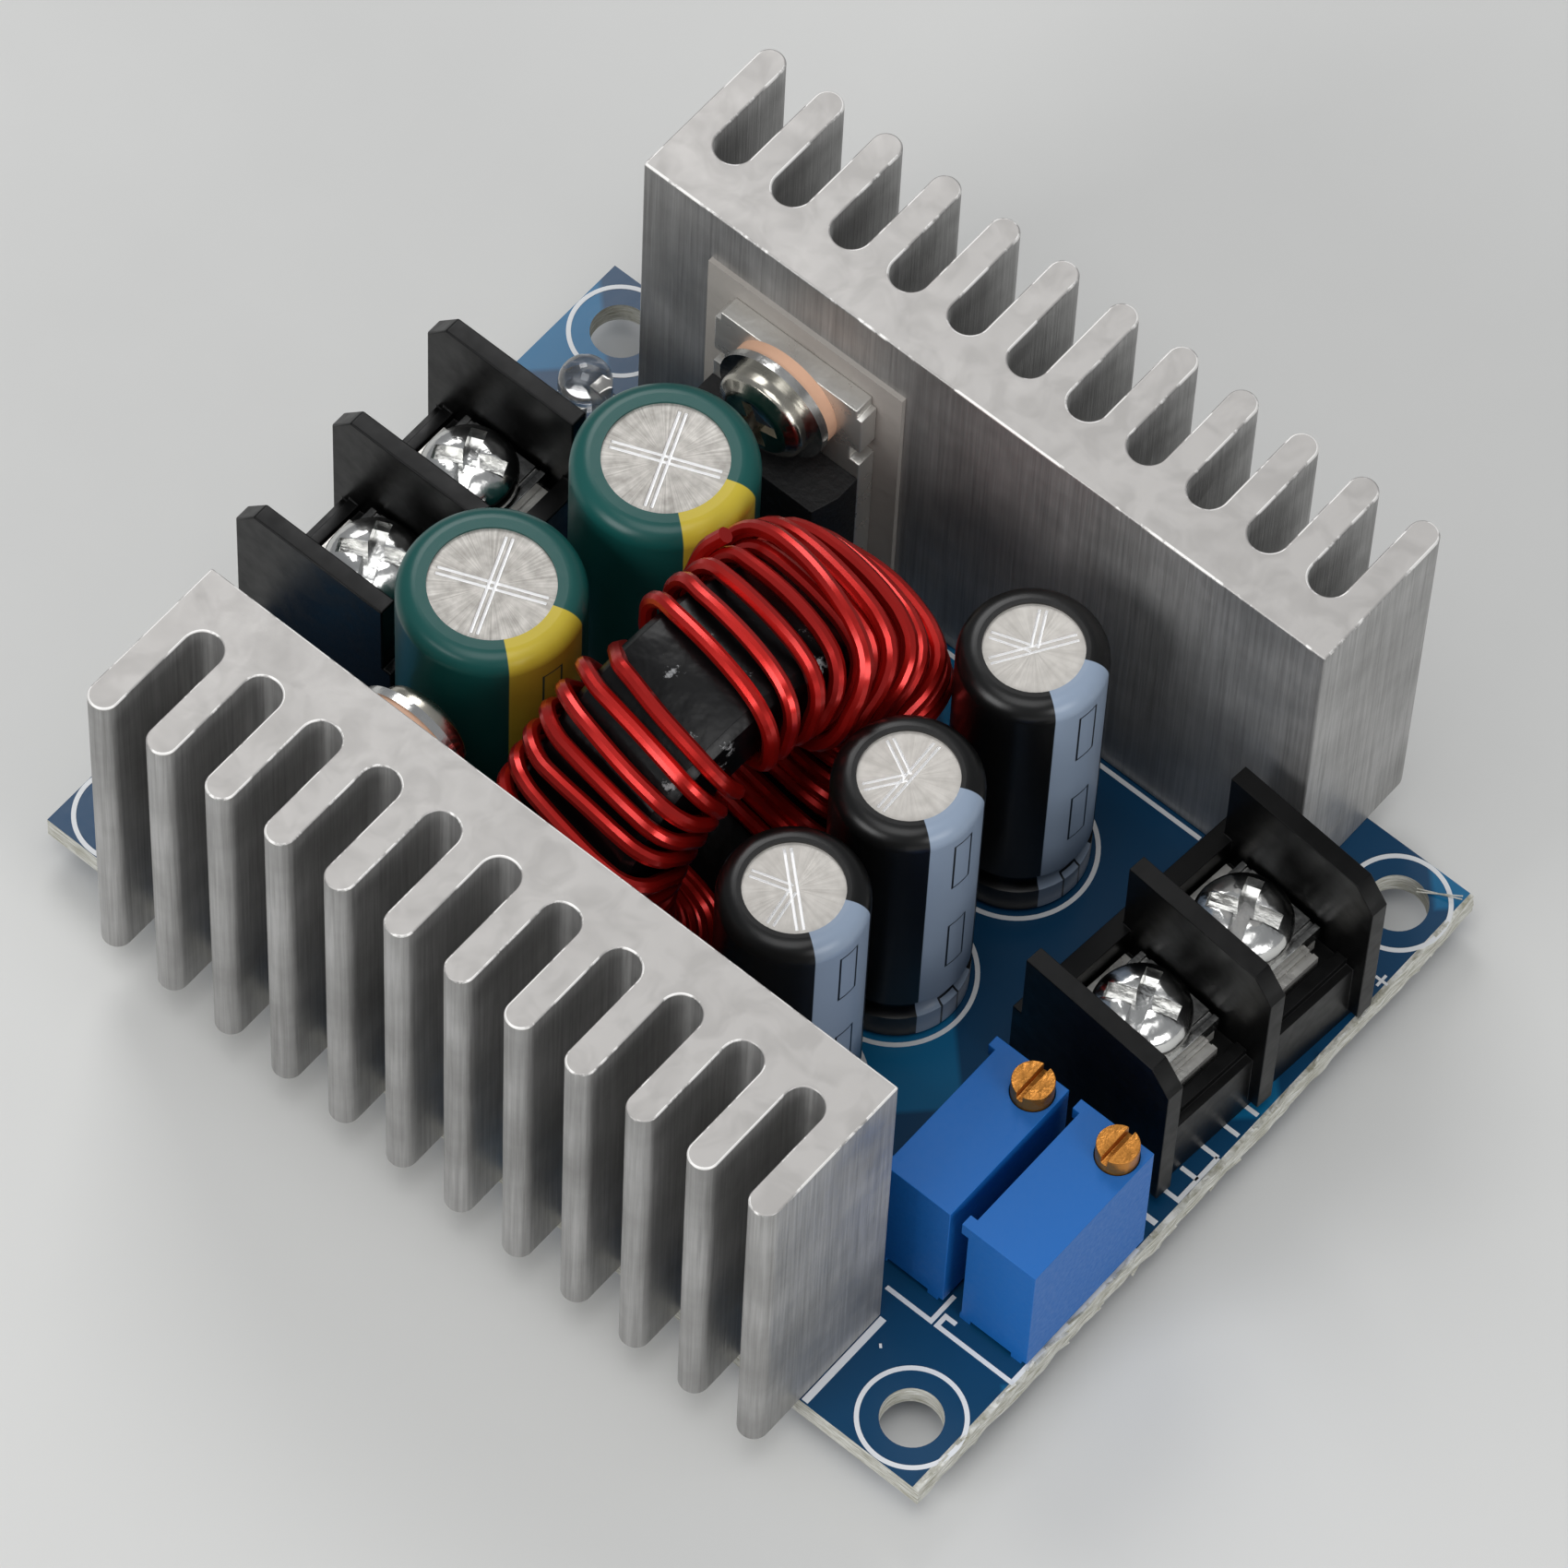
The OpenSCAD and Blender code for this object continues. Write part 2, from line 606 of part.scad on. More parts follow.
// ---- capacitors ----
// Half section of the can, or of the can swollen by a coat: coat is its thickness.
module can_section(r, h, coat) {
  difference() {
    union() {
      translate([0, -coat]) square([r + coat, h - shoulder_r + coat]);
      square([r - shoulder_r, h + coat]);
      intersection() {
        translate([r - shoulder_r, h - shoulder_r]) circle(r = shoulder_r + coat, $fn = 48);
        square([r + 2, h + 2]);
      }
    }
    translate([r + bead_r, bead_z]) circle(r = 2 * bead_r - coat, $fn = 32);
  }
}

module can(place, d, h, pitch, marks, turn) {
  r = d / 2 - sleeve_t - seat;
  color("#b7bac0")
  translate([place[0], place[1], top_z + cap_stand])
  difference() {
    rotate_extrude() can_section(r, h - sleeve_t - seat, 0);
    translate([0, 0, -1]) cylinder(r = r - can_wall, h = bung_t + 1);
    for (m = marks, s = [-1, 1]) rotate([0, 0, m[0] + turn])
      translate([m[1], (s * score_space - score_w) / 2, h - sleeve_t - seat - score_deep])
      cube([m[2] - m[1], score_w, 1]);
  }
}

module sleeve(place, d, h, lip, tone) {
  r = d / 2 - sleeve_t - seat;
  top = h - sleeve_t - seat;
  color(tone)
  translate([place[0], place[1], top_z + cap_stand])
  rotate_extrude()
  difference() {
    can_section(r, top, sleeve_t + seat);
    can_section(r, top, seat);
    translate([-1, -1]) square([r + 1 - lip, bung_t]);
    translate([-1, top - 1]) square([r + 1 - lip, 3]);
    translate([-1, -2]) square([r + 4, 2]);
  }
}

module input_capacitor_1_can() { can(in_caps[0], in_cap_d, in_cap_h, in_lead_pitch, cross_marks, 0); }
module input_capacitor_2_can() { can(in_caps[1], in_cap_d, in_cap_h, in_lead_pitch, cross_marks, 0); }
module output_capacitor_1_can() {
  can(out_caps[0], out_cap_d, out_cap_h, out_lead_pitch, k_marks, 0);
}
module output_capacitor_2_can() {
  can(out_caps[1], out_cap_d, out_cap_h, out_lead_pitch, k_marks, 35);
}
module output_capacitor_3_can() {
  can(out_caps[2], out_cap_d, out_cap_h, out_lead_pitch, k_marks, 80);
}
module input_capacitor_1_sleeve() { sleeve(in_caps[0], in_cap_d, in_cap_h, in_sleeve_lip, "#1d5450"); }
module input_capacitor_2_sleeve() { sleeve(in_caps[1], in_cap_d, in_cap_h, in_sleeve_lip, "#1d5450"); }
module output_capacitor_1_sleeve() {
  sleeve(out_caps[0], out_cap_d, out_cap_h, out_sleeve_lip, "#141414");
}
module output_capacitor_2_sleeve() {
  sleeve(out_caps[1], out_cap_d, out_cap_h, out_sleeve_lip, "#141414");
}
module output_capacitor_3_sleeve() {
  sleeve(out_caps[2], out_cap_d, out_cap_h, out_sleeve_lip, "#141414");
}

module bung(place, d, pitch) {
  r = d / 2 - sleeve_t - seat - can_wall - seat;
  translate([place[0], place[1], top_z + cap_stand])
  difference() {
    cylinder(r = r, h = bung_t - seat);
    for (s = [-1, 1]) translate([s * pitch / 2, 0, -1])
      cylinder(d = cap_lead_d + 2 * seat, h = bung_t + 2, $fn = 24);
  }
}

module capacitor_bungs() {
  color("#202022") {
    for (c = in_caps) bung(c, in_cap_d, in_lead_pitch);
    for (c = out_caps) bung(c, out_cap_d, out_lead_pitch);
  }
}

module capacitor_leads() {
  color("#c9ccce")
  for (l = cap_leads) lead(l, top_z + cap_stand + bung_t - 2 * seat);
}

// ---- barrier terminals ----
// Children are drawn with x from the front face inwards, z from the board.
module at_terminal(side, mid) {
  p = on_terminal(side, mid, 0, 0);
  translate([p[0], p[1], top_z])
  rotate([0, 0, term_turn(side)])
  mirror([side > 0 ? 1 : 0, 0, 0])
  children();
}

// Children are drawn about the axis of the clamping screw of pole i.
module at_pole(side, mid, i, z) {
  p = on_terminal(side, mid, screw_in, pole_y(0, i));
  translate([p[0], p[1], z])
  rotate([0, 0, term_turn(side)])
  children();
}

module terminal_housing(side, mid) {
  w = term_w;
  f = term_floor;
  color("#141414")
  at_terminal(side, mid)
  difference() {
    union() {
      translate([face_in, -w / 2, 0]) cube([term_depth - face_in, w, f]);
      translate([ridge_x, -w / 2, f - 1]) cube([ridge_w, w, ridge_h + 1]);
      translate([term_depth - back_t, -w / 2, f - 1]) cube([back_t, w, back_h + 1]);
      for (i = [0:poles])
        translate([0, -w / 2 + i * pole_pitch + barrier_t, barrier_low])
        rotate([90, 0, 0])
        linear_extrude(height = barrier_t)
        polygon([[0, 0], [term_depth - barrier_back, 0], [term_depth - barrier_back, barrier_h - barrier_low],
          [barrier_cut, barrier_h - barrier_low], [0, barrier_h - barrier_low - barrier_cut * 1.2]]);
    }
    for (i = [0:poles - 1]) translate([0, (i - (poles - 1) / 2) * pole_pitch, 0]) {
      translate([screw_in, 0, well_floor]) cylinder(d = well_d, h = f);
      translate([contact_back - contact_t - seat, -contact_leg_w / 2 - seat, -1])
      cube([contact_t + 2 * seat, contact_leg_w + 2 * seat, f + 2]);
    }
  }
}

module contact(side, mid, i) {
  color("#c9ccce")
  at_terminal(side, mid)
  translate([0, pole_y(0, i), 0])
  difference() {
    union() {
      translate([screw_in - contact_reach, -contact_w / 2, term_floor])
      cube([contact_back - screw_in + contact_reach, contact_w, contact_t]);
      translate([contact_front, -tongue_w / 2, term_floor])
      cube([screw_in - contact_front, tongue_w, contact_t]);
      translate([contact_back - contact_t, -contact_leg_w / 2, lead_end - top_z])
      cube([contact_t, contact_leg_w, term_floor + contact_t / 2 + top_z - lead_end]);
    }
    translate([screw_in, 0, term_floor - 1])
    cylinder(d = clamp_screw_d + 2 * screw_play, h = contact_t + 2);
    for (x = [0.35, 0.95]) translate([contact_front + x, -3, term_floor + contact_t - 0.2])
      cube([0.25, 6, 1]);
  }
}

module clamp(side, mid, i) {
  color("#cfd2d4")
  at_pole(side, mid, i, clamp_z)
  difference() {
    translate([-clamp_l / 2, -clamp_w / 2, 0]) cube([clamp_l, clamp_w, clamp_t]);
    translate([0, 0, -1]) cylinder(d = clamp_screw_d + 2 * screw_play, h = clamp_t + 2);
    for (s = [-1, 1]) translate([s * (clamp_l / 2 - 0.55) - 0.15, -5, clamp_t - 0.2])
      cube([0.3, 10, 1]);
  }
}

module clamp_screw(side, mid, i) {
  r = clamp_screw_d / 2;
  h = clamp_head_h;
  color("#d4d6d8")
  at_pole(side, mid, i, head_z)
  difference() {
    rotate_extrude()
    polygon([[0, -clamp_shank], [r - 0.4, -clamp_shank], [r, 0.4 - clamp_shank], [r, 0],
      [clamp_head_d / 2 - 0.4, 0], [clamp_head_d / 2, 0.35], [clamp_head_d / 2, h * 0.5],
      [clamp_head_d / 2 - 0.25, h * 0.75], [clamp_head_d / 2 - 0.75, h * 0.92],
      [clamp_head_d / 2 - 1.4, h], [0, h]]);
    for (a = [0, 90]) rotate([0, 0, a + 25])
      translate([-2, -0.45, h - 1.2]) cube([4, 0.9, 2]);
  }
}

module input_terminal_housing() { terminal_housing(-1, in_term_y); }
module output_terminal_housing() { terminal_housing(1, out_term_y); }
module input_contact_1() { contact(-1, in_term_y, 0); }
module input_contact_2() { contact(-1, in_term_y, 1); }
module output_contact_1() { contact(1, out_term_y, 0); }
module output_contact_2() { contact(1, out_term_y, 1); }
module input_clamp_1() { clamp(-1, in_term_y, 0); }
module input_clamp_2() { clamp(-1, in_term_y, 1); }
module output_clamp_1() { clamp(1, out_term_y, 0); }
module output_clamp_2() { clamp(1, out_term_y, 1); }
module input_screw_1() { clamp_screw(-1, in_term_y, 0); }
module input_screw_2() { clamp_screw(-1, in_term_y, 1); }
module output_screw_1() { clamp_screw(1, out_term_y, 0); }
module output_screw_2() { clamp_screw(1, out_term_y, 1); }

// ---- trimmers ----
module trimmer_case(x) {
  color("#1d5cb0")
  translate([x, trim_y, top_z])
  difference() {
    union() {
      translate([ear_in - trim_w / 2, -trim_l / 2, trim_foot])
      cube([trim_w - ear_in, trim_l, trim_h - trim_foot]);
      for (s = [-1, 1])
        translate([-trim_w / 2, s * (trim_l - ear_l) / 2 - ear_l / 2, trim_h - ear_h])
        cube([trim_w / 2, ear_l, ear_h]);
      for (sx = [-1, 1], sy = [-1, 1])
        translate([sx * (trim_w / 2 - nub) - nub / 2, sy * (trim_l - nub) / 2 - nub / 2, 0])
        cube([nub, nub, trim_foot + 0.1]);
    }
    translate([adjust_dx, adjust_dy, trim_h - adjust_depth])
    cylinder(d = adjust_d + 2 * screw_play, h = adjust_depth + 1, $fn = 32);
    for (k = [-1, 0, 1])
      translate([-trim_pin_w / 2 - seat, k * trim_pin_pitch - trim_pin_w / 2 - seat, -1])
      cube([trim_pin_w + 2 * seat, trim_pin_w + 2 * seat, trim_foot + 1 + pin_root + seat]);
  }
}

module trimmer_screw(x) {
  color("#c8873a")
  translate([x + adjust_dx, trim_y + adjust_dy, top_z + trim_h])
  difference() {
    translate([0, 0, screw_play - adjust_depth])
    cylinder(d = adjust_d, h = adjust_depth + adjust_up - screw_play, $fn = 32);
    translate([-0.2, -2, adjust_up - 0.6]) cube([0.4, 4, 1]);
  }
}

module trimmer_pins(x) {
  color("#c9ccce")
  for (l = trimmer_leads) if (l[0] == x) lead(l, top_z + trim_foot + pin_root);
}

module voltage_trimmer_case() { trimmer_case(trim_left_x); }
module current_trimmer_case() { trimmer_case(trim_right_x); }
module voltage_trimmer_screw() { trimmer_screw(trim_left_x); }
module current_trimmer_screw() { trimmer_screw(trim_right_x); }
module voltage_trimmer_pins() { trimmer_pins(trim_left_x); }
module current_trimmer_pins() { trimmer_pins(trim_right_x); }

// ---- indicator ----
module power_led_lens() {
  color("#dfe6ea")
  translate([led_x, led_y, top_z + led_stand])
  difference() {
    rotate_extrude()
    difference() {
      union() {
        square([led_flange_d / 2, led_flange_h]);
        square([led_d / 2, led_h - led_d / 2]);
        translate([0, led_h - led_d / 2]) circle(d = led_d, $fn = 48);
      }
      translate([-5, -1]) square([5, led_h + 3]);
    }
    for (s = [-1, 1])
      translate([-led_lead_w / 2 - seat, s * led_pitch / 2 - led_lead_w / 2 - seat, -1])
      cube([led_lead_w + 2 * seat, led_lead_w + 2 * seat, 1 + led_root + seat]);
  }
}

module power_led_leads() {
  color("#c9ccce")
  for (l = led_leads) lead(l, top_z + led_stand + led_root);
}

// ---- underside ----
// An eight-legged chip, hanging from the board; x and y are its middle.
module soic(x, y, turn) {
  top = chip_air + chip_t;
  out = chip_w / 2 + 0.35;
  translate([x, y, board_z])
  rotate([0, 0, turn]) {
    translate([-chip_l / 2, -chip_w / 2, -top]) cube([chip_l, chip_w, chip_t]);
    for (k = [-1.5:1:1.5], s = [-1, 1]) translate([k * chip_leg_pitch - chip_leg_w / 2, 0, 0]) {
      translate([0, s * out - 0.35, -0.6 * top]) cube([chip_leg_w, 0.7, chip_leg_t]);
      translate([0, s * (out + 0.25) - 0.1, -0.6 * top]) cube([chip_leg_w, 0.2, 0.6 * top]);
      translate([0, s * (out + 0.5) - 0.3, -chip_leg_t]) cube([chip_leg_w, 0.6, chip_leg_t]);
    }
  }
}

module controller_chip() { color("#1b1b1c") soic(0, board_w * 0.087, 0); }
module amplifier_chip() { color("#1b1b1c") soic(board_l * 0.267, -board_w * 0.326, 90); }
module current_shunt() {
  color("#23262a")
  translate([board_l * 0.217, board_w * 0.304, board_z - shunt_t])
  cube([shunt_l, shunt_w, shunt_t]);
}
module chip_parts() {
  color("#8a7a5c")
  for (p = chip_spots)
    translate([p[0] * board_l, p[1] * board_w, board_z - small_t])
    rotate([0, 0, 90 * p[2]])
    translate([-small_l / 2, -small_w / 2, 0]) cube([small_l, small_w, small_t]);
}

circuit_board();
front_heatsink();
rear_heatsink();
front_insulating_pad();
rear_insulating_pad();
front_transistor_frame();
rear_transistor_frame();
front_transistor_case();
rear_transistor_case();
front_insulating_bush();
rear_insulating_bush();
front_washer();
rear_washer();
front_tab_screw();
rear_tab_screw();
choke_core();
choke_winding();
input_capacitor_1_can();
input_capacitor_1_sleeve();
input_capacitor_2_can();
input_capacitor_2_sleeve();
output_capacitor_1_can();
output_capacitor_1_sleeve();
output_capacitor_2_can();
output_capacitor_2_sleeve();
output_capacitor_3_can();
output_capacitor_3_sleeve();
capacitor_bungs();
capacitor_leads();
input_terminal_housing();
output_terminal_housing();
input_contact_1();
input_contact_2();
output_contact_1();
output_contact_2();
input_clamp_1();
input_clamp_2();
output_clamp_1();
output_clamp_2();
input_screw_1();
input_screw_2();
output_screw_1();
output_screw_2();
power_led_lens();
power_led_leads();
voltage_trimmer_case();
current_trimmer_case();
voltage_trimmer_screw();
current_trimmer_screw();
voltage_trimmer_pins();
current_trimmer_pins();
controller_chip();
amplifier_chip();
current_shunt();
chip_parts();
solder_joints();
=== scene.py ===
"""Looks of a buck converter module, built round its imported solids.

The board's middle is at x = y = 0 and z = 0 is the lowest point of what
stands out under it; +X runs to the output terminal and +Y to the rear
heatsink. Lengths are in metres where no other unit is named.
"""

import logging
import math
import random
from dataclasses import dataclass, field
from enum import Enum
from typing import Any, Iterable, Sequence

import bmesh
import bpy
from mathutils import Matrix, Vector, noise


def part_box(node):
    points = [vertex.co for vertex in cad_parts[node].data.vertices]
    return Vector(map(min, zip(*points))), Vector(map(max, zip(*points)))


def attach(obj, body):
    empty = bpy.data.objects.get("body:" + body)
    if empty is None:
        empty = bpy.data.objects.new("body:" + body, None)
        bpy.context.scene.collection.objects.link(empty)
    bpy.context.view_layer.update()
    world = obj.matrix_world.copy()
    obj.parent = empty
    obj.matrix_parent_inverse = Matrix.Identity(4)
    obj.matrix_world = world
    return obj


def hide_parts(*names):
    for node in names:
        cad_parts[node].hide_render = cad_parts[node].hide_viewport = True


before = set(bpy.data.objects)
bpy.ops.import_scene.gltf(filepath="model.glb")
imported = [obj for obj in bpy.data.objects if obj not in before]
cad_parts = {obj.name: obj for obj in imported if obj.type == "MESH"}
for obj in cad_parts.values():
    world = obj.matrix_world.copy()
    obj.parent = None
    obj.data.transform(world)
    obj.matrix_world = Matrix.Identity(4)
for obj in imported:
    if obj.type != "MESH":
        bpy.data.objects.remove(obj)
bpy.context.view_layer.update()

MM = 0.001
WELD = 1e-7
PACKED_WELD = 2e-6
LOG = logging.getLogger("buck_converter_module")
Colour = tuple[float, float, float, float]
Point = tuple[float, float, float]


def linear(code: str, alpha: float = 1.0) -> Colour:
    """Turn an sRGB hex colour into the linear one that the shaders take.

    Args:
        code: colour such as "#1d5cb0".
        alpha: opacity of the result.

    Returns:
        Red, green, blue and alpha, each from 0 to 1.
    """
    parts = [int(code[i:i + 2], 16) / 255 for i in (1, 3, 5)]
    painted_edge_highlight = [p / 12.92 if p <= 0.04045 else ((p + 0.055) / 1.055) ** 2.4 for p in parts]
    return (painted_edge_highlight[0], painted_edge_highlight[1], painted_edge_highlight[2], alpha)


def add_node(tree: bpy.types.NodeTree, kind: str, settings: dict[str, Any] | None = None,
             inputs: dict[Any, Any] | None = None) -> bpy.types.Node:
    """Add a node, set its properties, and fill or link its inputs.

    Args:
        tree: the node tree of a material.
        kind: the node's type name.
        settings: properties of the node.
        inputs: input name or index, with a value or an output socket to link.

    Returns:
        The new node.
    """
    node = tree.nodes.new(kind)
    for key, value in (settings or {}).items():
        setattr(node, key, value)
    for key, value in (inputs or {}).items():
        if isinstance(value, bpy.types.NodeSocket):
            tree.links.new(value, node.inputs[key])
        else:
            node.inputs[key].default_value = value
    return node


# --------------------------------------------------------------------------
# Finishes
# --------------------------------------------------------------------------

@dataclass(frozen=True)
class Finish:
    """A real material with the surface its maker left on it.

    Attributes:
        name: the material's common name.
        base: main colour, sRGB hex.
        rough: roughness of the surface.
        metal: how metallic the surface is.
        shine: strength of the mirror reflection of a plastic or paint.
    """

    name: str
    base: str
    rough: float = 0.5
    metal: float = 0.0
    shine: float = 0.5

    def make(self) -> bpy.types.Material:
        """Build the material with its nodes.

        Returns:
            The new material.
        """
        made = bpy.data.materials.new(self.name)
        made.use_nodes = True
        tree = made.node_tree
        shader = tree.nodes["Principled BSDF"]
        shader.inputs["Base Color"].default_value = linear(self.base)
        shader.inputs["Roughness"].default_value = self.rough
        shader.inputs["Metallic"].default_value = self.metal
        shader.inputs["Specular IOR Level"].default_value = self.shine
        place = add_node(tree, "ShaderNodeTexCoord").outputs["Object"]
        self.dress(tree, shader, place)
        return made

    def dress(self, tree: bpy.types.NodeTree, shader: bpy.types.Node,
              place: bpy.types.NodeSocket) -> None:
        """Add the surface's own pattern; a plain finish gets a faint grain."""
        self.grain(tree, shader, place, 0.25, 0.03)

    def grain(self, tree: bpy.types.NodeTree, shader: bpy.types.Node,
              place: bpy.types.NodeSocket, size_mm: float, depth: float) -> bpy.types.Node:
        """Add a fine bump of a real size.

        Args:
            tree: the material's tree.
            shader: its surface shader.
            place: Object coordinates.
            size_mm: size of the grains.
            depth: strength of the bump.

        Returns:
            The noise node, for other uses of the same pattern.
        """
        speck = add_node(tree, "ShaderNodeTexNoise", None,
                         {"Vector": place, "Scale": 1000 / size_mm / 2, "Detail": 3.0})
        bump = add_node(tree, "ShaderNodeBump", None,
                        {"Height": speck.outputs["Fac"], "Strength": depth, "Distance": 0.0002})
        tree.links.new(bump.outputs["Normal"], shader.inputs["Normal"])
        return speck


@dataclass(frozen=True)
class ExtrudedAluminium(Finish):
    """Drawn aluminium: streaks down the sides, a blotched saw cut on the ends.

    The cut takes the light evenly and shows soft darker patches about 1.5 mm
    across, with a painted highlight in spots on the bevels of its rim for torn
    metal; the drawn sides are duller, with fine lines along the extrusion.
    """

    cut: str = "#b9b6b3"
    cut_patch: str = "#adaaa7"
    streak: str = "#7b7a78"
    # Painted highlight colour for the rim's tilted bevel faces, standing for light caught by torn
    # metal.
    edge_highlight: str = "#f2f0ed"

    def dress(self, tree: bpy.types.NodeTree, shader: bpy.types.Node,
              place: bpy.types.NodeSocket) -> None:
        """Draw the two faces and choose between them by the way a face looks.

        Args:
            tree: the material's tree.
            shader: its surface shader.
            place: Object coordinates.
        """
        facing = add_node(tree, "ShaderNodeNewGeometry").outputs["Normal"]
        up = add_node(tree, "ShaderNodeSeparateXYZ", None, {"Vector": facing}).outputs["Z"]
        flat = add_node(tree, "ShaderNodeMath", {"operation": "ABSOLUTE"}, {0: up}).outputs[0]
        is_cut = add_node(tree, "ShaderNodeMapRange", None,
                          {"Value": flat, "From Min": 0.5, "From Max": 0.9}).outputs[0]
        haze = add_node(tree, "ShaderNodeTexNoise", None,
                        {"Vector": place, "Scale": 330.0, "Detail": 5.0, "Roughness": 0.65})
        patch = add_node(tree, "ShaderNodeTexNoise", None,
                         {"Vector": place, "Scale": 520.0, "Detail": 2.0, "Distortion": 0.8})
        cut_mix = add_node(tree, "ShaderNodeMapRange", None,
                           {"Value": patch.outputs["Fac"], "From Min": 0.42,
                            "From Max": 0.66}).outputs[0]
        cut = add_node(tree, "ShaderNodeMix", {"data_type": "RGBA"},
                       {"Factor": cut_mix, "A": linear(self.cut), "B": linear(self.cut_patch)})
        lines_at = add_node(tree, "ShaderNodeMapping", None,
                            {"Vector": place, "Scale": (1.0, 1.0, 0.02)}).outputs[0]
        lines = add_node(tree, "ShaderNodeTexNoise", None,
                         {"Vector": lines_at, "Scale": 5600.0, "Detail": 5.0, "Roughness": 0.6})
        cloud = add_node(tree, "ShaderNodeTexNoise", None,
                         {"Vector": place, "Scale": 150.0, "Detail": 4.0})
        dull = add_node(tree, "ShaderNodeMath", {"operation": "MULTIPLY"},
                        {0: lines.outputs["Fac"], 1: cloud.outputs["Fac"]}).outputs[0]
        side_mix = add_node(tree, "ShaderNodeMapRange", None,
                            {"Value": dull, "From Min": 0.05, "From Max": 0.38}).outputs[0]
        side = add_node(tree, "ShaderNodeMix", {"data_type": "RGBA"},
                        {"Factor": side_mix, "A": linear(self.streak), "B": linear(self.base)})
        tone = add_node(tree, "ShaderNodeMix", {"data_type": "RGBA"},
                        {"Factor": is_cut, "A": side.outputs["Result"], "B": cut.outputs["Result"]})
        # Painted highlight: bevel faces tilted upward are mixed to the pale edge colour in broken
        # noise spots, standing for light caught by the sawn burrs.
        slope = add_node(tree, "ShaderNodeNewGeometry").outputs["True Normal"]
        tilt = add_node(tree, "ShaderNodeSeparateXYZ", None, {"Vector": slope}).outputs["Z"]
        edge = add_node(tree, "ShaderNodeMath", {"operation": "COMPARE"},
                        {0: tilt, 1: 0.6, 2: 0.35}).outputs[0]
        highlight_spots = add_node(tree, "ShaderNodeMapRange", None,
                        {"Value": haze.outputs["Fac"], "From Min": 0.47, "From Max": 0.52}).outputs[0]
        painted_edge_highlight = add_node(tree, "ShaderNodeMath", {"operation": "MULTIPLY"},
                          {0: edge, 1: highlight_spots}).outputs[0]
        whole = add_node(tree, "ShaderNodeMix", {"data_type": "RGBA"},
                         {"Factor": painted_edge_highlight, "A": tone.outputs["Result"], "B": linear(self.edge_highlight)})
        tree.links.new(whole.outputs["Result"], shader.inputs["Base Color"])
        scuff = add_node(tree, "ShaderNodeMapRange", None,
                         {"Value": haze.outputs["Fac"], "From Min": 0.3, "From Max": 0.7,
                          "To Min": self.rough - 0.08, "To Max": self.rough + 0.12}).outputs[0]
        tree.links.new(scuff, shader.inputs["Roughness"])
        gleam = add_node(tree, "ShaderNodeMapRange", None,
                         {"Value": is_cut, "To Min": self.metal, "To Max": self.metal / 2})
        tree.links.new(gleam.outputs[0], shader.inputs["Metallic"])
        height = add_node(tree, "ShaderNodeMix", {"data_type": "FLOAT"},
                          {"Factor": is_cut, "A": lines.outputs["Fac"], "B": haze.outputs["Fac"]})
        bump = add_node(tree, "ShaderNodeBump", None,
                        {"Height": height.outputs["Result"], "Strength": 0.25, "Distance": 0.0001})
        tree.links.new(bump.outputs["Normal"], shader.inputs["Normal"])


@dataclass(frozen=True)
class EnamelledCopper(Finish):
    """Red wire enamel: clear and glossy over bright copper, a little uneven."""

    def dress(self, tree: bpy.types.NodeTree, shader: bpy.types.Node,
              place: bpy.types.NodeSocket) -> None:
        """Vary the enamel's depth of colour over a few millimetres.

        Args:
            tree: the material's tree.
            shader: its surface shader.
            place: Object coordinates.
        """
        drift = add_node(tree, "ShaderNodeTexNoise", None,
                         {"Vector": place, "Scale": 180.0, "Detail": 2.0})
        tone = add_node(tree, "ShaderNodeMix", {"data_type": "RGBA"},
                        {"Factor": drift.outputs["Fac"], "A": linear("#96100d"),
                         "B": linear(self.base)})
        tree.links.new(tone.outputs["Result"], shader.inputs["Base Color"])
        shader.inputs["Coat Weight"].default_value = 0.35
        shader.inputs["Coat Roughness"].default_value = 0.16


@dataclass(frozen=True)
class PaintedCore(Finish):
    """Brush-thick black epoxy on the ring core, chipped to bare grey powder iron."""

    chip: str = "#8d8f90"

    def dress(self, tree: bpy.types.NodeTree, shader: bpy.types.Node,
              place: bpy.types.NodeSocket) -> None:
        """Lay lumps in the paint and let sparse chips show the core.

        Args:
            tree: the material's tree.
            shader: its surface shader.
            place: Object coordinates.
        """
        self.grain(tree, shader, place, 1.1, 0.6)
        broken = add_node(tree, "ShaderNodeTexNoise", None,
                          {"Vector": place, "Scale": 480.0, "Detail": 6.0, "Roughness": 0.75})
        area = add_node(tree, "ShaderNodeTexNoise", None, {"Vector": place, "Scale": 130.0})
        both = add_node(tree, "ShaderNodeMath", {"operation": "MULTIPLY"},
                        {0: broken.outputs["Fac"], 1: area.outputs["Fac"]}).outputs[0]
        mask = add_node(tree, "ShaderNodeMapRange", None,
                        {"Value": both, "From Min": 0.37, "From Max": 0.4}).outputs[0]
        tone = add_node(tree, "ShaderNodeMix", {"data_type": "RGBA"},
                        {"Factor": mask, "A": linear(self.base), "B": linear(self.chip)})
        tree.links.new(tone.outputs["Result"], shader.inputs["Base Color"])


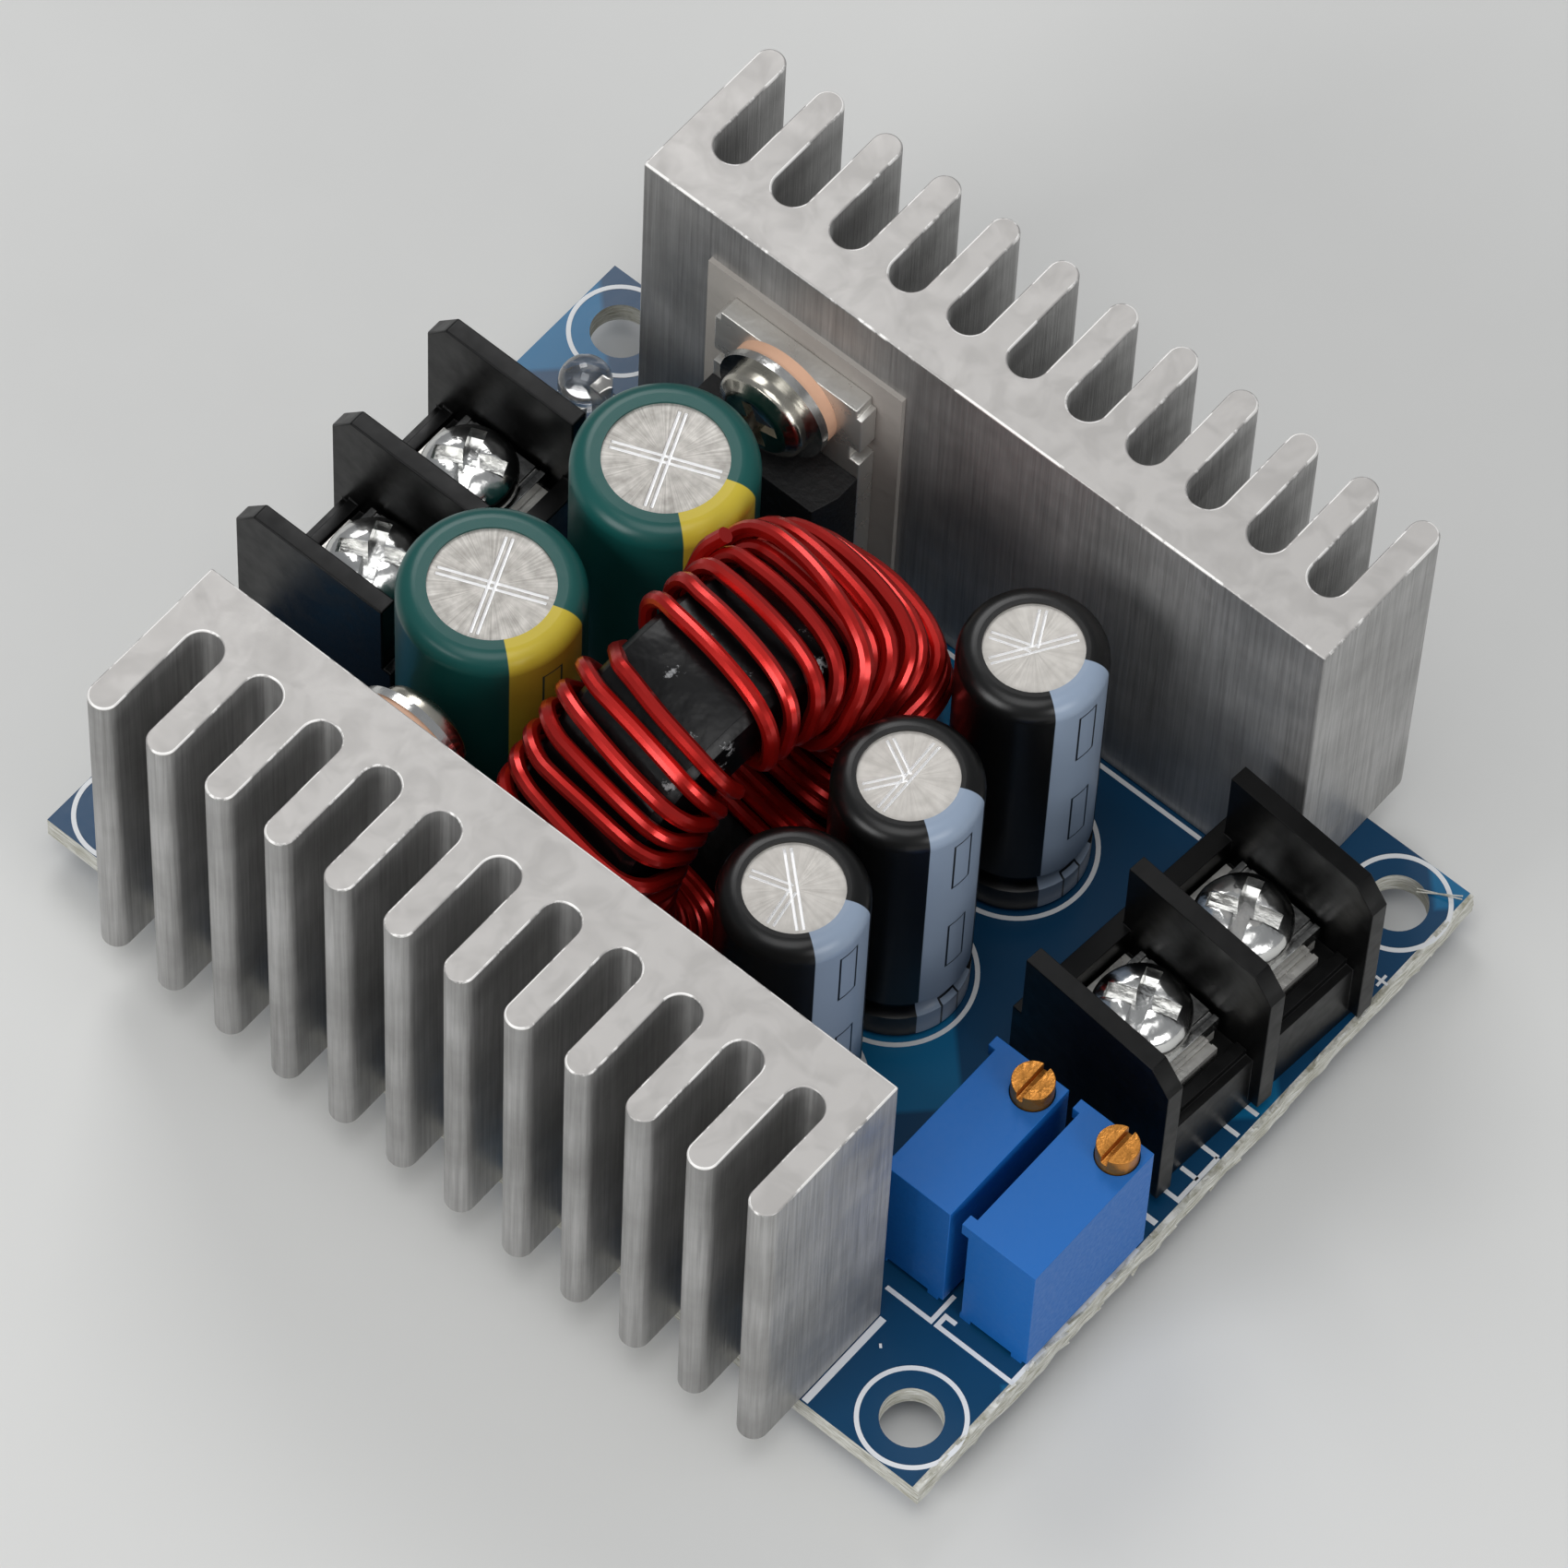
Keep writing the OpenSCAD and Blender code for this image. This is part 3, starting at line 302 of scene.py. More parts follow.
@dataclass(frozen=True)
class SolderMask(Finish):
    """Blue solder mask: a glossy lacquer, lighter where copper lies under it."""

    over_copper: str = "#0f6793"

    def dress(self, tree: bpy.types.NodeTree, shader: bpy.types.Node,
              place: bpy.types.NodeSocket) -> None:
        """Show broad copper areas with narrow gaps between them.

        Args:
            tree: the material's tree.
            shader: its surface shader.
            place: Object coordinates.
        """
        areas = add_node(tree, "ShaderNodeTexVoronoi", {"distance": "MANHATTAN"},
                         {"Vector": place, "Scale": 85.0, "Randomness": 0.8})
        gap = add_node(tree, "ShaderNodeMapRange", None,
                       {"Value": areas.outputs["Distance"], "From Min": 0.52,
                        "From Max": 0.56}).outputs[0]
        tone = add_node(tree, "ShaderNodeMix", {"data_type": "RGBA"},
                        {"Factor": gap, "A": linear(self.over_copper), "B": linear(self.base)})
        tree.links.new(tone.outputs["Result"], shader.inputs["Base Color"])
        ripple = add_node(tree, "ShaderNodeTexNoise", None,
                          {"Vector": place, "Scale": 900.0, "Detail": 2.0})
        bump = add_node(tree, "ShaderNodeBump", None,
                        {"Height": ripple.outputs["Fac"], "Strength": 0.08, "Distance": 0.0001})
        tree.links.new(bump.outputs["Normal"], shader.inputs["Normal"])


@dataclass(frozen=True)
class GlassFibreEdge(Finish):
    """Sawn glass-fibre laminate: pale, with layers of cloth along the cut."""

    shade: str = "#a09d8a"

    def dress(self, tree: bpy.types.NodeTree, shader: bpy.types.Node,
              place: bpy.types.NodeSocket) -> None:
        """Draw the cloth layers as fine broken lines parallel to the board.

        Args:
            tree: the material's tree.
            shader: its surface shader.
            place: Object coordinates.
        """
        layers = add_node(tree, "ShaderNodeMapping", None,
                          {"Vector": place, "Scale": (1.0, 1.0, 9.0)}).outputs[0]
        fibre = add_node(tree, "ShaderNodeTexNoise", None,
                         {"Vector": layers, "Scale": 700.0, "Detail": 6.0, "Roughness": 0.7})
        tone = add_node(tree, "ShaderNodeMapRange", None,
                        {"Value": fibre.outputs["Fac"], "From Min": 0.35, "From Max": 0.65})
        mix = add_node(tree, "ShaderNodeMix", {"data_type": "RGBA"},
                       {"Factor": tone.outputs[0], "A": linear(self.shade), "B": linear(self.base)})
        tree.links.new(mix.outputs["Result"], shader.inputs["Base Color"])
        bump = add_node(tree, "ShaderNodeBump", None,
                        {"Height": fibre.outputs["Fac"], "Strength": 0.8, "Distance": 0.0002})
        tree.links.new(bump.outputs["Normal"], shader.inputs["Normal"])


@dataclass(frozen=True)
class PrintedSleeve(Finish):
    """Shrunk PVC sleeve with a printed polarity stripe down one side.

    Attributes:
        centre: the capacitor's axis in millimetres, x and y.
        radius: outer radius of the sleeve in millimetres.
        stripe: colour of the stripe, sRGB hex.
        aim: direction of the stripe's middle from the axis, in degrees.
        half: half of the stripe's width, in degrees.
        mark: colour of the outlined minus signs, sRGB hex.
        foot: height of the sleeve's lower end in millimetres.
    """

    centre: tuple[float, float] = (0.0, 0.0)
    radius: float = 5.0
    stripe: str = "#c9b83f"
    aim: float = 0.0
    half: float = 25.0
    mark: str = "#20242a"
    foot: float = 3.6

    def dress(self, tree: bpy.types.NodeTree, shader: bpy.types.Node,
              place: bpy.types.NodeSocket) -> None:
        """Wrap the stripe and its signs round the axis.

        Args:
            tree: the material's tree.
            shader: its surface shader.
            place: Object coordinates.
        """
        turned = add_node(tree, "ShaderNodeMapping", {"vector_type": "TEXTURE"},
                          {"Vector": place,
                           "Location": (self.centre[0] * MM, self.centre[1] * MM, 0.0),
                           "Rotation": (0.0, 0.0, math.radians(self.aim))}).outputs[0]
        axes = add_node(tree, "ShaderNodeSeparateXYZ", None, {"Vector": turned})
        angle = add_node(tree, "ShaderNodeMath", {"operation": "ARCTAN2"},
                         {0: axes.outputs["Y"], 1: axes.outputs["X"]}).outputs[0]
        away = add_node(tree, "ShaderNodeMath", {"operation": "ABSOLUTE"}, {0: angle}).outputs[0]
        limit = math.radians(self.half)
        on_stripe = add_node(tree, "ShaderNodeMapRange", None,
                             {"Value": away, "From Min": limit, "From Max": limit - 0.01}).outputs[0]
        across = add_node(tree, "ShaderNodeMath", {"operation": "MULTIPLY"},
                          {0: away, 1: self.radius}).outputs[0]
        up = add_node(tree, "ShaderNodeMath", {"operation": "MULTIPLY_ADD"},
                      {0: axes.outputs["Z"], 1: 1000.0, 2: -self.foot}).outputs[0]
        row = add_node(tree, "ShaderNodeMath", {"operation": "PINGPONG"},
                       {0: up, 1: 4.15}).outputs[0]
        outer = self.box_mask(tree, across, row, 0.66, 2.2)
        inner = self.box_mask(tree, across, row, 0.53, 2.07)
        line = add_node(tree, "ShaderNodeMath", {"operation": "SUBTRACT"},
                        {0: outer, 1: inner}).outputs[0]
        printed = add_node(tree, "ShaderNodeMix", {"data_type": "RGBA"},
                           {"Factor": line, "A": linear(self.stripe), "B": linear(self.mark)})
        tone = add_node(tree, "ShaderNodeMix", {"data_type": "RGBA"},
                        {"Factor": on_stripe, "A": linear(self.base),
                         "B": printed.outputs["Result"]})
        tree.links.new(tone.outputs["Result"], shader.inputs["Base Color"])
        self.grain(tree, shader, place, 0.8, 0.05)

    def box_mask(self, tree: bpy.types.NodeTree, across: bpy.types.NodeSocket,
                 row: bpy.types.NodeSocket, wide: float, tall: float) -> bpy.types.NodeSocket:
        """Mask of a box round the middle of each sign.

        Args:
            tree: the material's tree.
            across: distance from the stripe's middle line, in millimetres.
            row: distance from the nearest sign's middle, in millimetres.
            wide: half width of the box.
            tall: half height of the box.

        Returns:
            A socket that is 1 inside the box.
        """
        near = add_node(tree, "ShaderNodeMath", {"operation": "LESS_THAN"},
                        {0: across, 1: wide}).outputs[0]
        level = add_node(tree, "ShaderNodeMath", {"operation": "LESS_THAN"},
                         {0: row, 1: tall}).outputs[0]
        return add_node(tree, "ShaderNodeMath", {"operation": "MULTIPLY"},
                        {0: near, 1: level}).outputs[0]


@dataclass(frozen=True)
class RolledCan(Finish):
    """Drawn aluminium can: satin top, radial grain, and a painted highlight in its pressed scores.

    Attributes:
        axis: x and y of the can's axis, in millimetres.
        top: height of its top, in millimetres.
        rays: how many streaks of grain run round the top.
        dark: tone between the streaks.
    """

    axis: tuple[float, float] = (0.0, 0.0)
    top: float = 0.0
    rays: float = 20.0
    dark: str = "#96928c"

    def dress(self, tree: bpy.types.NodeTree, shader: bpy.types.Node,
              place: bpy.types.NodeSocket) -> None:
        """Run the grain out from the middle; below the top, paint a white highlight.

        Args:
            tree: the material's tree.
            shader: its surface shader.
            place: Object coordinates.
        """
        local = add_node(tree, "ShaderNodeVectorMath", {"operation": "SUBTRACT"},
                         {0: place, 1: (self.axis[0] * MM, self.axis[1] * MM, 0.0)}).outputs[0]
        part = add_node(tree, "ShaderNodeSeparateXYZ", None, {"Vector": local})
        angle = add_node(tree, "ShaderNodeMath", {"operation": "ARCTAN2"},
                         {0: part.outputs["Y"], 1: part.outputs["X"]}).outputs[0]
        away = add_node(tree, "ShaderNodeVectorMath", {"operation": "LENGTH"},
                        {0: local}).outputs["Value"]
        spread = add_node(tree, "ShaderNodeMath", {"operation": "MULTIPLY"},
                          {0: angle, 1: self.rays}).outputs[0]
        far = add_node(tree, "ShaderNodeMath", {"operation": "MULTIPLY"},
                       {0: away, 1: 900.0}).outputs[0]
        ray = add_node(tree, "ShaderNodeCombineXYZ", None, {"X": spread, "Y": far}).outputs[0]
        line = add_node(tree, "ShaderNodeTexNoise", None,
                        {"Vector": ray, "Scale": 1.0, "Detail": 4.0, "Roughness": 0.6})
        spot = add_node(tree, "ShaderNodeTexNoise", None,
                        {"Vector": place, "Scale": 1500.0, "Detail": 3.0})
        both = add_node(tree, "ShaderNodeMath", {"operation": "MULTIPLY"},
                        {0: line.outputs["Fac"], 1: spot.outputs["Fac"]}).outputs[0]
        worn = add_node(tree, "ShaderNodeMapRange", None,
                        {"Value": both, "From Min": 0.12, "From Max": 0.38}).outputs[0]
        skin = add_node(tree, "ShaderNodeMix", {"data_type": "RGBA"},
                        {"Factor": worn, "A": linear(self.dark), "B": linear(self.base)})
        # Painted highlight: whatever lies a little below the top face, the score grooves above all,
        # turns white so the scores read bright, not shaded.
        painted_score_highlight = add_node(tree, "ShaderNodeMapRange", None,
                         {"Value": part.outputs["Z"], "From Min": (self.top - 0.06) * MM,
                          "From Max": (self.top - 0.01) * MM, "To Min": 1.0,
                          "To Max": 0.0}).outputs[0]
        mix = add_node(tree, "ShaderNodeMix", {"data_type": "RGBA"},
                       {"Factor": painted_score_highlight, "A": skin.outputs["Result"], "B": linear("#ffffff")})
        tree.links.new(mix.outputs["Result"], shader.inputs["Base Color"])
        bump = add_node(tree, "ShaderNodeBump", None,
                        {"Height": line.outputs["Fac"], "Strength": 0.2, "Distance": 0.0001})
        tree.links.new(bump.outputs["Normal"], shader.inputs["Normal"])


@dataclass(frozen=True)
class StruckMetal(Finish):
    """Stamped and plated steel or brass: bright, with small dents and lines."""

    dent_mm: float = 0.7
    depth: float = 0.35

    def dress(self, tree: bpy.types.NodeTree, shader: bpy.types.Node,
              place: bpy.types.NodeSocket) -> None:
        """Dent the plating a little and vary its shine.

        Args:
            tree: the material's tree.
            shader: its surface shader.
            place: Object coordinates.
        """
        speck = self.grain(tree, shader, place, self.dent_mm, self.depth)
        shine = add_node(tree, "ShaderNodeMapRange", None,
                         {"Value": speck.outputs["Fac"], "From Min": 0.3, "From Max": 0.7,
                          "To Min": max(0.03, self.rough - 0.06), "To Max": self.rough + 0.1})
        tree.links.new(shine.outputs[0], shader.inputs["Roughness"])


@dataclass(frozen=True)
class MouldedPlastic(Finish):
    """Injection-moulded plastic: even colour, satin skin with a fine texture."""

    texture_mm: float = 0.3
    depth: float = 0.12

    def dress(self, tree: bpy.types.NodeTree, shader: bpy.types.Node,
              place: bpy.types.NodeSocket) -> None:
        """Texture the skin and dust it with a few light scuffs.

        Args:
            tree: the material's tree.
            shader: its surface shader.
            place: Object coordinates.
        """
        speck = self.grain(tree, shader, place, self.texture_mm, self.depth)
        shine = add_node(tree, "ShaderNodeMapRange", None,
                         {"Value": speck.outputs["Fac"], "From Min": 0.3, "From Max": 0.75,
                          "To Min": self.rough - 0.05, "To Max": self.rough + 0.1})
        tree.links.new(shine.outputs[0], shader.inputs["Roughness"])


@dataclass(frozen=True)
class ClearEpoxy(Finish):
    """Water-clear cast epoxy of the indicator's lens."""

    def dress(self, tree: bpy.types.NodeTree, shader: bpy.types.Node,
              place: bpy.types.NodeSocket) -> None:
        """Let the light through, with the bend of epoxy."""
        shader.inputs["Transmission Weight"].default_value = 0.95
        shader.inputs["IOR"].default_value = 1.54


ALUMINIUM = ExtrudedAluminium("extruded_aluminium", "#b3b2b1", 0.42, 0.6)
ENAMEL = EnamelledCopper("red_wire_enamel", "#d4231b", 0.3, 0.75)
CORE = PaintedCore("black_core_epoxy", "#060607", 0.32, 0.0, 0.25)
MASK = SolderMask("blue_solder_mask", "#083f63", 0.28, 0.0, 0.4)
LAMINATE = GlassFibreEdge("sawn_glass_fibre", "#efefea", 0.8)
INK = MouldedPlastic("white_board_ink", "#e6e8ea", 0.6)
NICKEL = StruckMetal("nickel_plated_steel", "#d6d6d4", 0.16, 1.0)
ZINC = StruckMetal("zinc_plated_steel", "#b9b5aa", 0.22, 1.0, 0.5, 0.9, 0.25)
TIN = StruckMetal("tinned_copper", "#cfcdc8", 0.3, 0.7)
SOLDER = StruckMetal("tin_solder", "#c3c6c9", 0.2, 0.95, 0.5, 0.5, 0.2)
BRASS = StruckMetal("turned_brass", "#c08038", 0.34, 0.8, 0.5, 0.3, 0.4)
BLACK_PBT = MouldedPlastic("black_pbt_housing", "#070707", 0.33, 0.0, 0.22, 0.5, 0.05)
BLUE_CASE = MouldedPlastic("blue_trimmer_plastic", "#1464b2", 0.45, 0.0, 0.35, 0.15, 0.04)
EPOXY = MouldedPlastic("black_moulded_epoxy", "#1c1c1d", 0.55, 0.0, 0.4, 0.2, 0.3)
PAD = MouldedPlastic("grey_silicone_pad", "#a39e98", 0.7, 0.0, 0.4, 0.4, 0.2)
BUSH = MouldedPlastic("peach_nylon_bush", "#e0b294", 0.45, 0.0, 0.5, 0.4, 0.1)
RUBBER = MouldedPlastic("black_rubber_bung", "#1a1a1b", 0.8, 0.0, 0.3, 0.4, 0.2)
CERAMIC = MouldedPlastic("fired_chip_ceramic", "#8d7a5c", 0.4, 0.0, 0.5, 0.2, 0.1)
CLEAR = ClearEpoxy("clear_epoxy_lens", "#ffffff", 0.02)


class Workshop:
    """Keeps the made materials, and puts finished pieces into the scene."""

    def __init__(self) -> None:
        """Start with nothing made."""
        self.made: dict[str, bpy.types.Material] = {}

    def finish(self, finish: Finish) -> bpy.types.Material:
        """Return the material of a finish, made on its first use.

        Args:
            finish: what a piece is made of.

        Returns:
            Its material.
        """
        if finish.name not in self.made:
            self.made[finish.name] = finish.make()
        return self.made[finish.name]

    def dress_node(self, node: str, finish: Finish) -> None:
        """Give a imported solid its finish.

        Args:
            node: name of the solid.
            finish: what it is made of.
        """
        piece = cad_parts[node]
        piece.data.materials.clear()
        piece.data.materials.append(self.finish(finish))
        LOG.info("%s: %s", node, finish.name)

    def place(self, name: str, shape: bmesh.types.BMesh, finishes: Sequence[Finish],
              body: str, slot: str, replaces: Iterable[str] = (),
              smooth: bool = True) -> bpy.types.Object:
        """Turn a bmesh into a finished piece that rides on a body.

        Args:
            name: the piece's name.
            shape: its mesh in metres, in the frame; it is freed.
            finishes: one finish for each material index.
            body: the body that carries it.
            slot: not used.
            replaces: solids that it stands for.
            smooth: shade it smooth, with sharp edges kept.

        Returns:
            The new object.
        """
        mesh = bpy.data.meshes.new(name)
        bmesh.ops.recalc_face_normals(shape, faces=shape.faces)
        shape.to_mesh(mesh)
        shape.free()
        for finish in finishes:
            mesh.materials.append(self.finish(finish))
        piece = bpy.data.objects.new(name, mesh)
        bpy.context.scene.collection.objects.link(piece)
        if smooth:
            mesh.shade_smooth()
            mesh.set_sharp_from_angle(angle=math.radians(35))
        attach(piece, body)
        if replaces:
            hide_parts(*replaces)
        LOG.info("%s: %d faces", name, len(mesh.polygons))
        return piece


SHOP = Workshop()


# --------------------------------------------------------------------------
# Mesh helpers
# --------------------------------------------------------------------------

class Edge(Enum):
    """How far an edge is broken, in millimetres."""

    NONE = 0.0
    FINE = 0.04
    SMALL = 0.08
    SAWN = 0.13
    MOULDED = 0.18


def middle(node: str) -> Vector:
    """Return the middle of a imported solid's box, in metres."""
    low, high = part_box(node)
    return (low + high) / 2


def solid_copy(node: str, edge: Edge = Edge.SMALL, angle: float = 40.0) -> bmesh.types.BMesh:
    """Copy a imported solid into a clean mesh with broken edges.

    Args:
        node: name of the solid.
        edge: how far its sharp edges are broken.
        angle: smallest angle of an edge that is broken, in degrees.

    Returns:
        The mesh, in metres.
    """
    shape = bmesh.new()
    shape.from_mesh(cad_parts[node].data)
    bmesh.ops.remove_doubles(shape, verts=shape.verts, dist=PACKED_WELD)
    bmesh.ops.dissolve_limit(shape, angle_limit=math.radians(1.5), verts=shape.verts,
                             edges=shape.edges)
    if edge.value:
        sharp = [e for e in shape.edges if len(e.link_faces) == 2
                 and e.calc_face_angle(0.0) > math.radians(angle)]
        bmesh.ops.bevel(shape, geom=sharp, offset=edge.value * MM, offset_type="OFFSET",
                        segments=2, profile=0.5, affect="EDGES", clamp_overlap=True,
                        material=-1)
    return shape


def even_shading(piece: bpy.types.Object) -> None:
    """Let wide faces keep their own direction beside broken edges.

    Args:
        piece: the piece whose shading is evened.
    """
    weight = piece.modifiers.new("even_shading", "WEIGHTED_NORMAL")
    weight.keep_sharp = True
    weight.weight = 90


def add_spin(shape: bmesh.types.BMesh, profile: Sequence[tuple[float, float]],
             centre: Vector, steps: int = 48) -> None:
    """Spin an open profile once round the vertical through a centre.

    Args:
        shape: mesh that takes the result.
        profile: (radius, height) points in metres, from one end to the other.
        centre: point that the profile's heights and radii are counted from.
        steps: number of steps of the turn.
    """
    made = [shape.verts.new(centre + Vector((r, 0.0, z))) for r, z in profile]
    edges = [shape.edges.new(pair) for pair in zip(made, made[1:])]
    bmesh.ops.spin(shape, geom=made + edges, cent=centre, axis=(0, 0, 1),
                   dvec=(0, 0, 0), angle=math.tau, steps=steps, use_merge=True,
                   use_duplicate=False)
    bmesh.ops.remove_doubles(shape, verts=shape.verts, dist=WELD)


def add_box(shape: bmesh.types.BMesh, low: Sequence[float], high: Sequence[float],
            edge: float = 0.0) -> list[bmesh.types.BMVert]:
    """Add a box between two corners, with its edges broken.

    Args:
        shape: mesh that takes the box.
        low: lowest corner in metres.
        high: highest corner in metres.
        edge: bevel of its edges in metres.

    Returns:
        The box's corner vertices, before any bevel.
    """
    low, high = Vector(low), Vector(high)
    made = bmesh.ops.create_cube(shape, size=1.0)["verts"]
    size = high - low
    bmesh.ops.scale(shape, vec=size, verts=made)
    bmesh.ops.translate(shape, vec=(low + high) / 2, verts=made)
    if edge:
        around = list({e for v in made for e in v.link_edges})
        bmesh.ops.bevel(shape, geom=around, offset=edge, offset_type="OFFSET", segments=2,
                        profile=0.5, affect="EDGES", clamp_overlap=True, material=-1)
    return made


# --------------------------------------------------------------------------
# Sub-assemblies
# --------------------------------------------------------------------------

@dataclass
class Board:
    """Laminate with a masked top and bottom, sawn edges and white print.

    Attributes:
        ink_height: how far the ink stands over the board, and reaches into it.
        line: width of a printed line.
        strip: length of the sawn end that is built with its broken cloth.
        notch: spacing of the fine notches along the sawn end, as waves a metre.
        bay: the same of the wide ones.
        splinter_count: number of torn bundles of cloth along the sawn end.
        hole_inset: from the board's edges to a corner hole's middle, in millimetres.
        hole_ring: radius of the circle round a corner hole, in millimetres.
        narrow_ring: the same round an output capacitor.
        wide_ring: the same round an input capacitor.
        plus: x and y of the plus sign at the output, in millimetres.
        seed: start of the random draws for the splinters.
    """

    ink_height: float = 0.03 * MM
    line: float = 0.26 * MM
    strip: float = 0.45 * MM
    notch: float = 900.0
    bay: float = 160.0
    splinter_count: int = 90
    hole_inset: float = 3.0
    hole_ring: float = 2.85
    narrow_ring: float = 4.4
    wide_ring: float = 5.5
    plus: tuple[float, float] = (29.28, 15.8)
    seed: int = 7
    low: Vector = field(init=False)
    high: Vector = field(init=False)

    def __post_init__(self) -> None:
        """Read the board's box."""
        self.low, self.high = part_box("circuit_board")

    def build(self) -> None:
        """Make the laminate, its ragged end and the print."""
        self.laminate()
        self.ragged_end()
        self.print_marks()

    def laminate(self) -> None:
        """Copy the board, cut back where the ragged end goes."""
        shape = solid_copy("circuit_board", Edge.NONE)
        cut = self.high.x - self.strip
        bmesh.ops.bisect_plane(shape, geom=shape.verts[:] + shape.edges[:] + shape.faces[:],
                               plane_co=(cut, 0, 0), plane_no=(1, 0, 0), clear_outer=True)
        open_edges = [e for e in shape.edges if len(e.link_faces) == 1]
        bmesh.ops.holes_fill(shape, edges=open_edges)
        shape.normal_update()
        for face in shape.faces:
            face.material_index = 0 if abs(face.normal.z) > 0.5 else 1
        SHOP.place("board_laminate", shape, (MASK, LAMINATE), "module", "solder_mask",
                   ("circuit_board",), smooth=False)

    def ragged_end(self) -> None:
        """Build the sawn end, with its broken cloth standing out in places."""
        shape = bmesh.new()
        cut = self.high.x - self.strip
        bmesh.ops.create_cube(shape, size=1.0)
        bmesh.ops.scale(shape, verts=shape.verts,
                        vec=(self.strip, self.high.y - self.low.y, self.high.z - self.low.z))
        bmesh.ops.translate(shape, verts=shape.verts,
                            vec=(cut + self.strip / 2, 0, (self.low.z + self.high.z) / 2))
        along = [e for e in shape.edges if abs((e.verts[0].co - e.verts[1].co).y) > 0.01]
        bmesh.ops.subdivide_edges(shape, edges=along, cuts=260, use_grid_fill=True)
        rest = [e for e in shape.edges if abs((e.verts[0].co - e.verts[1].co).z) > self.strip]
        bmesh.ops.subdivide_edges(shape, edges=rest, cuts=4, use_grid_fill=True)
        for vert in shape.verts:
            if vert.co.x > cut + self.strip / 2:
                spot = Vector((vert.co.y * self.notch, vert.co.z * 2500, 3.1))
                slow = Vector((vert.co.y * self.bay, 1.7, vert.co.z * 300))
                bite = 0.5 + 0.5 * noise.noise(spot) + 0.55 * noise.noise(slow)
                deepest = 0.85
                vert.co.x -= max(0.0, min(deepest, bite * 0.55)) * self.strip
                if vert.co.z > self.high.z - 1e-5:
                    vert.co.z += 0.05 * MM * max(0.0, noise.noise(spot * 1.7))
        self.splinters(shape)
        SHOP.place("board_sawn_end", shape, (LAMINATE,), "module", "solder_mask", smooth=False)

    def splinters(self, shape: bmesh.types.BMesh) -> None:
        """Leave torn glass cloth along the sawn end, and two loose hairs at its corner.

        Args:
            shape: mesh that takes the splinters.
        """
        dice = random.Random(self.seed)
        half_wide, half_tall = 0.06 * MM, 0.05 * MM
        for _ in range(self.splinter_count):
            long = dice.uniform(0.4, 1.6) * MM
            low = Vector((-half_wide, -long / 2, -half_tall))
            made = add_box(shape, low, -low)
            lean = Matrix.Rotation(dice.uniform(-0.22, 0.22), 3, "Z")
            tip = Matrix.Rotation(dice.uniform(-0.25, 0.25), 3, "X")
            bmesh.ops.rotate(shape, verts=made, cent=(0, 0, 0), matrix=lean @ tip)
            at = Vector((self.high.x - dice.uniform(0.15, 0.32) * MM,
                         dice.uniform(self.low.y + MM, self.high.y - MM),
                         dice.choice((self.high.z, self.high.z, self.low.z + 0.1 * MM))
                         + dice.uniform(-0.12, 0.03) * MM))
            bmesh.ops.translate(shape, verts=made, vec=at)
        hair = Vector((1.25 * MM, 0.03 * MM, 0.03 * MM))
        lift = Matrix.Rotation(-0.16, 3, "Y")
        corner = (self.high.x - 1.6 * MM, self.high.y - 1.2 * MM, self.high.z + 0.2 * MM)
        for bend in (0.36, 0.52):
            made = add_box(shape, -hair, hair)
            turn = Matrix.Rotation(bend, 3, "Z") @ lift
            bmesh.ops.rotate(shape, verts=made, cent=(0, 0, 0), matrix=turn)
            bmesh.ops.translate(shape, verts=made, vec=corner)
        for vert in shape.verts:
            vert.co.x = min(vert.co.x, self.high.x)

    def ribbon(self, shape: bmesh.types.BMesh, points: Sequence[tuple[float, float]],
               wide: float | None = None, closed: bool = False) -> None:
        """Print one line of ink through points given in millimetres.

        Args:
            shape: mesh that takes the line.
            points: the middle of the line, x and y in millimetres.
            wide: width of the line in metres.
            closed: join the last point to the first.
        """
        half = (wide or self.line) / 2
        flat = [Vector((x * MM, y * MM)) for x, y in points]
        count = len(flat)
        runs = [(flat[(i + 1) % count] - flat[i]).normalized() for i in range(count)]
        rings = []
        for i, at in enumerate(flat):
            here = runs[i] if closed or i < count - 1 else runs[i - 1]
            last = runs[i - 1] if closed or i > 0 else runs[i]
            normal = Vector((-here.y, here.x))
            side = (normal + Vector((-last.y, last.x))).normalized()
            side *= half / max(0.5, side.dot(normal))
            rings.append([shape.verts.new((spot.x, spot.y, self.high.z + z))
                          for spot, z in ((at + side, -self.ink_height),
                                          (at - side, -self.ink_height),
                                          (at - side, self.ink_height),
                                          (at + side, self.ink_height))])
        pairs = list(zip(rings, rings[1:])) + ([(rings[-1], rings[0])] if closed else [])
        for one, two in pairs:
            for k in range(4):
                shape.faces.new((one[k], one[(k + 1) % 4], two[(k + 1) % 4], two[k]))
        if not closed:
            shape.faces.new(rings[0])
            shape.faces.new(reversed(rings[-1]))

    def circle(self, shape: bmesh.types.BMesh, x: float, y: float, radius: float) -> None:
        """Print a circle; lengths in millimetres.

        Args:
            shape: mesh that takes the circle.
            x: its middle along X.
            y: its middle along Y.
            radius: its radius.
        """
        steps = 72
        self.ribbon(shape, [(x + radius * math.cos(math.tau * i / steps),
                             y + radius * math.sin(math.tau * i / steps))
                            for i in range(steps)], closed=True)

    def print_marks(self) -> None:
        """Print circles, outlines, ticks and the plus sign as one piece."""
        shape = bmesh.new()
        self.print_circles(shape)
        self.print_heatsink_lines(shape)
        self.print_terminal_lines(shape)
        self.print_plus(shape)
        self.ribbon(shape, [(23.1, -17.95), (23.2, -17.85)], 0.25 * MM)
        SHOP.place("board_print", shape, (INK,), "module", "solder_mask", smooth=False)

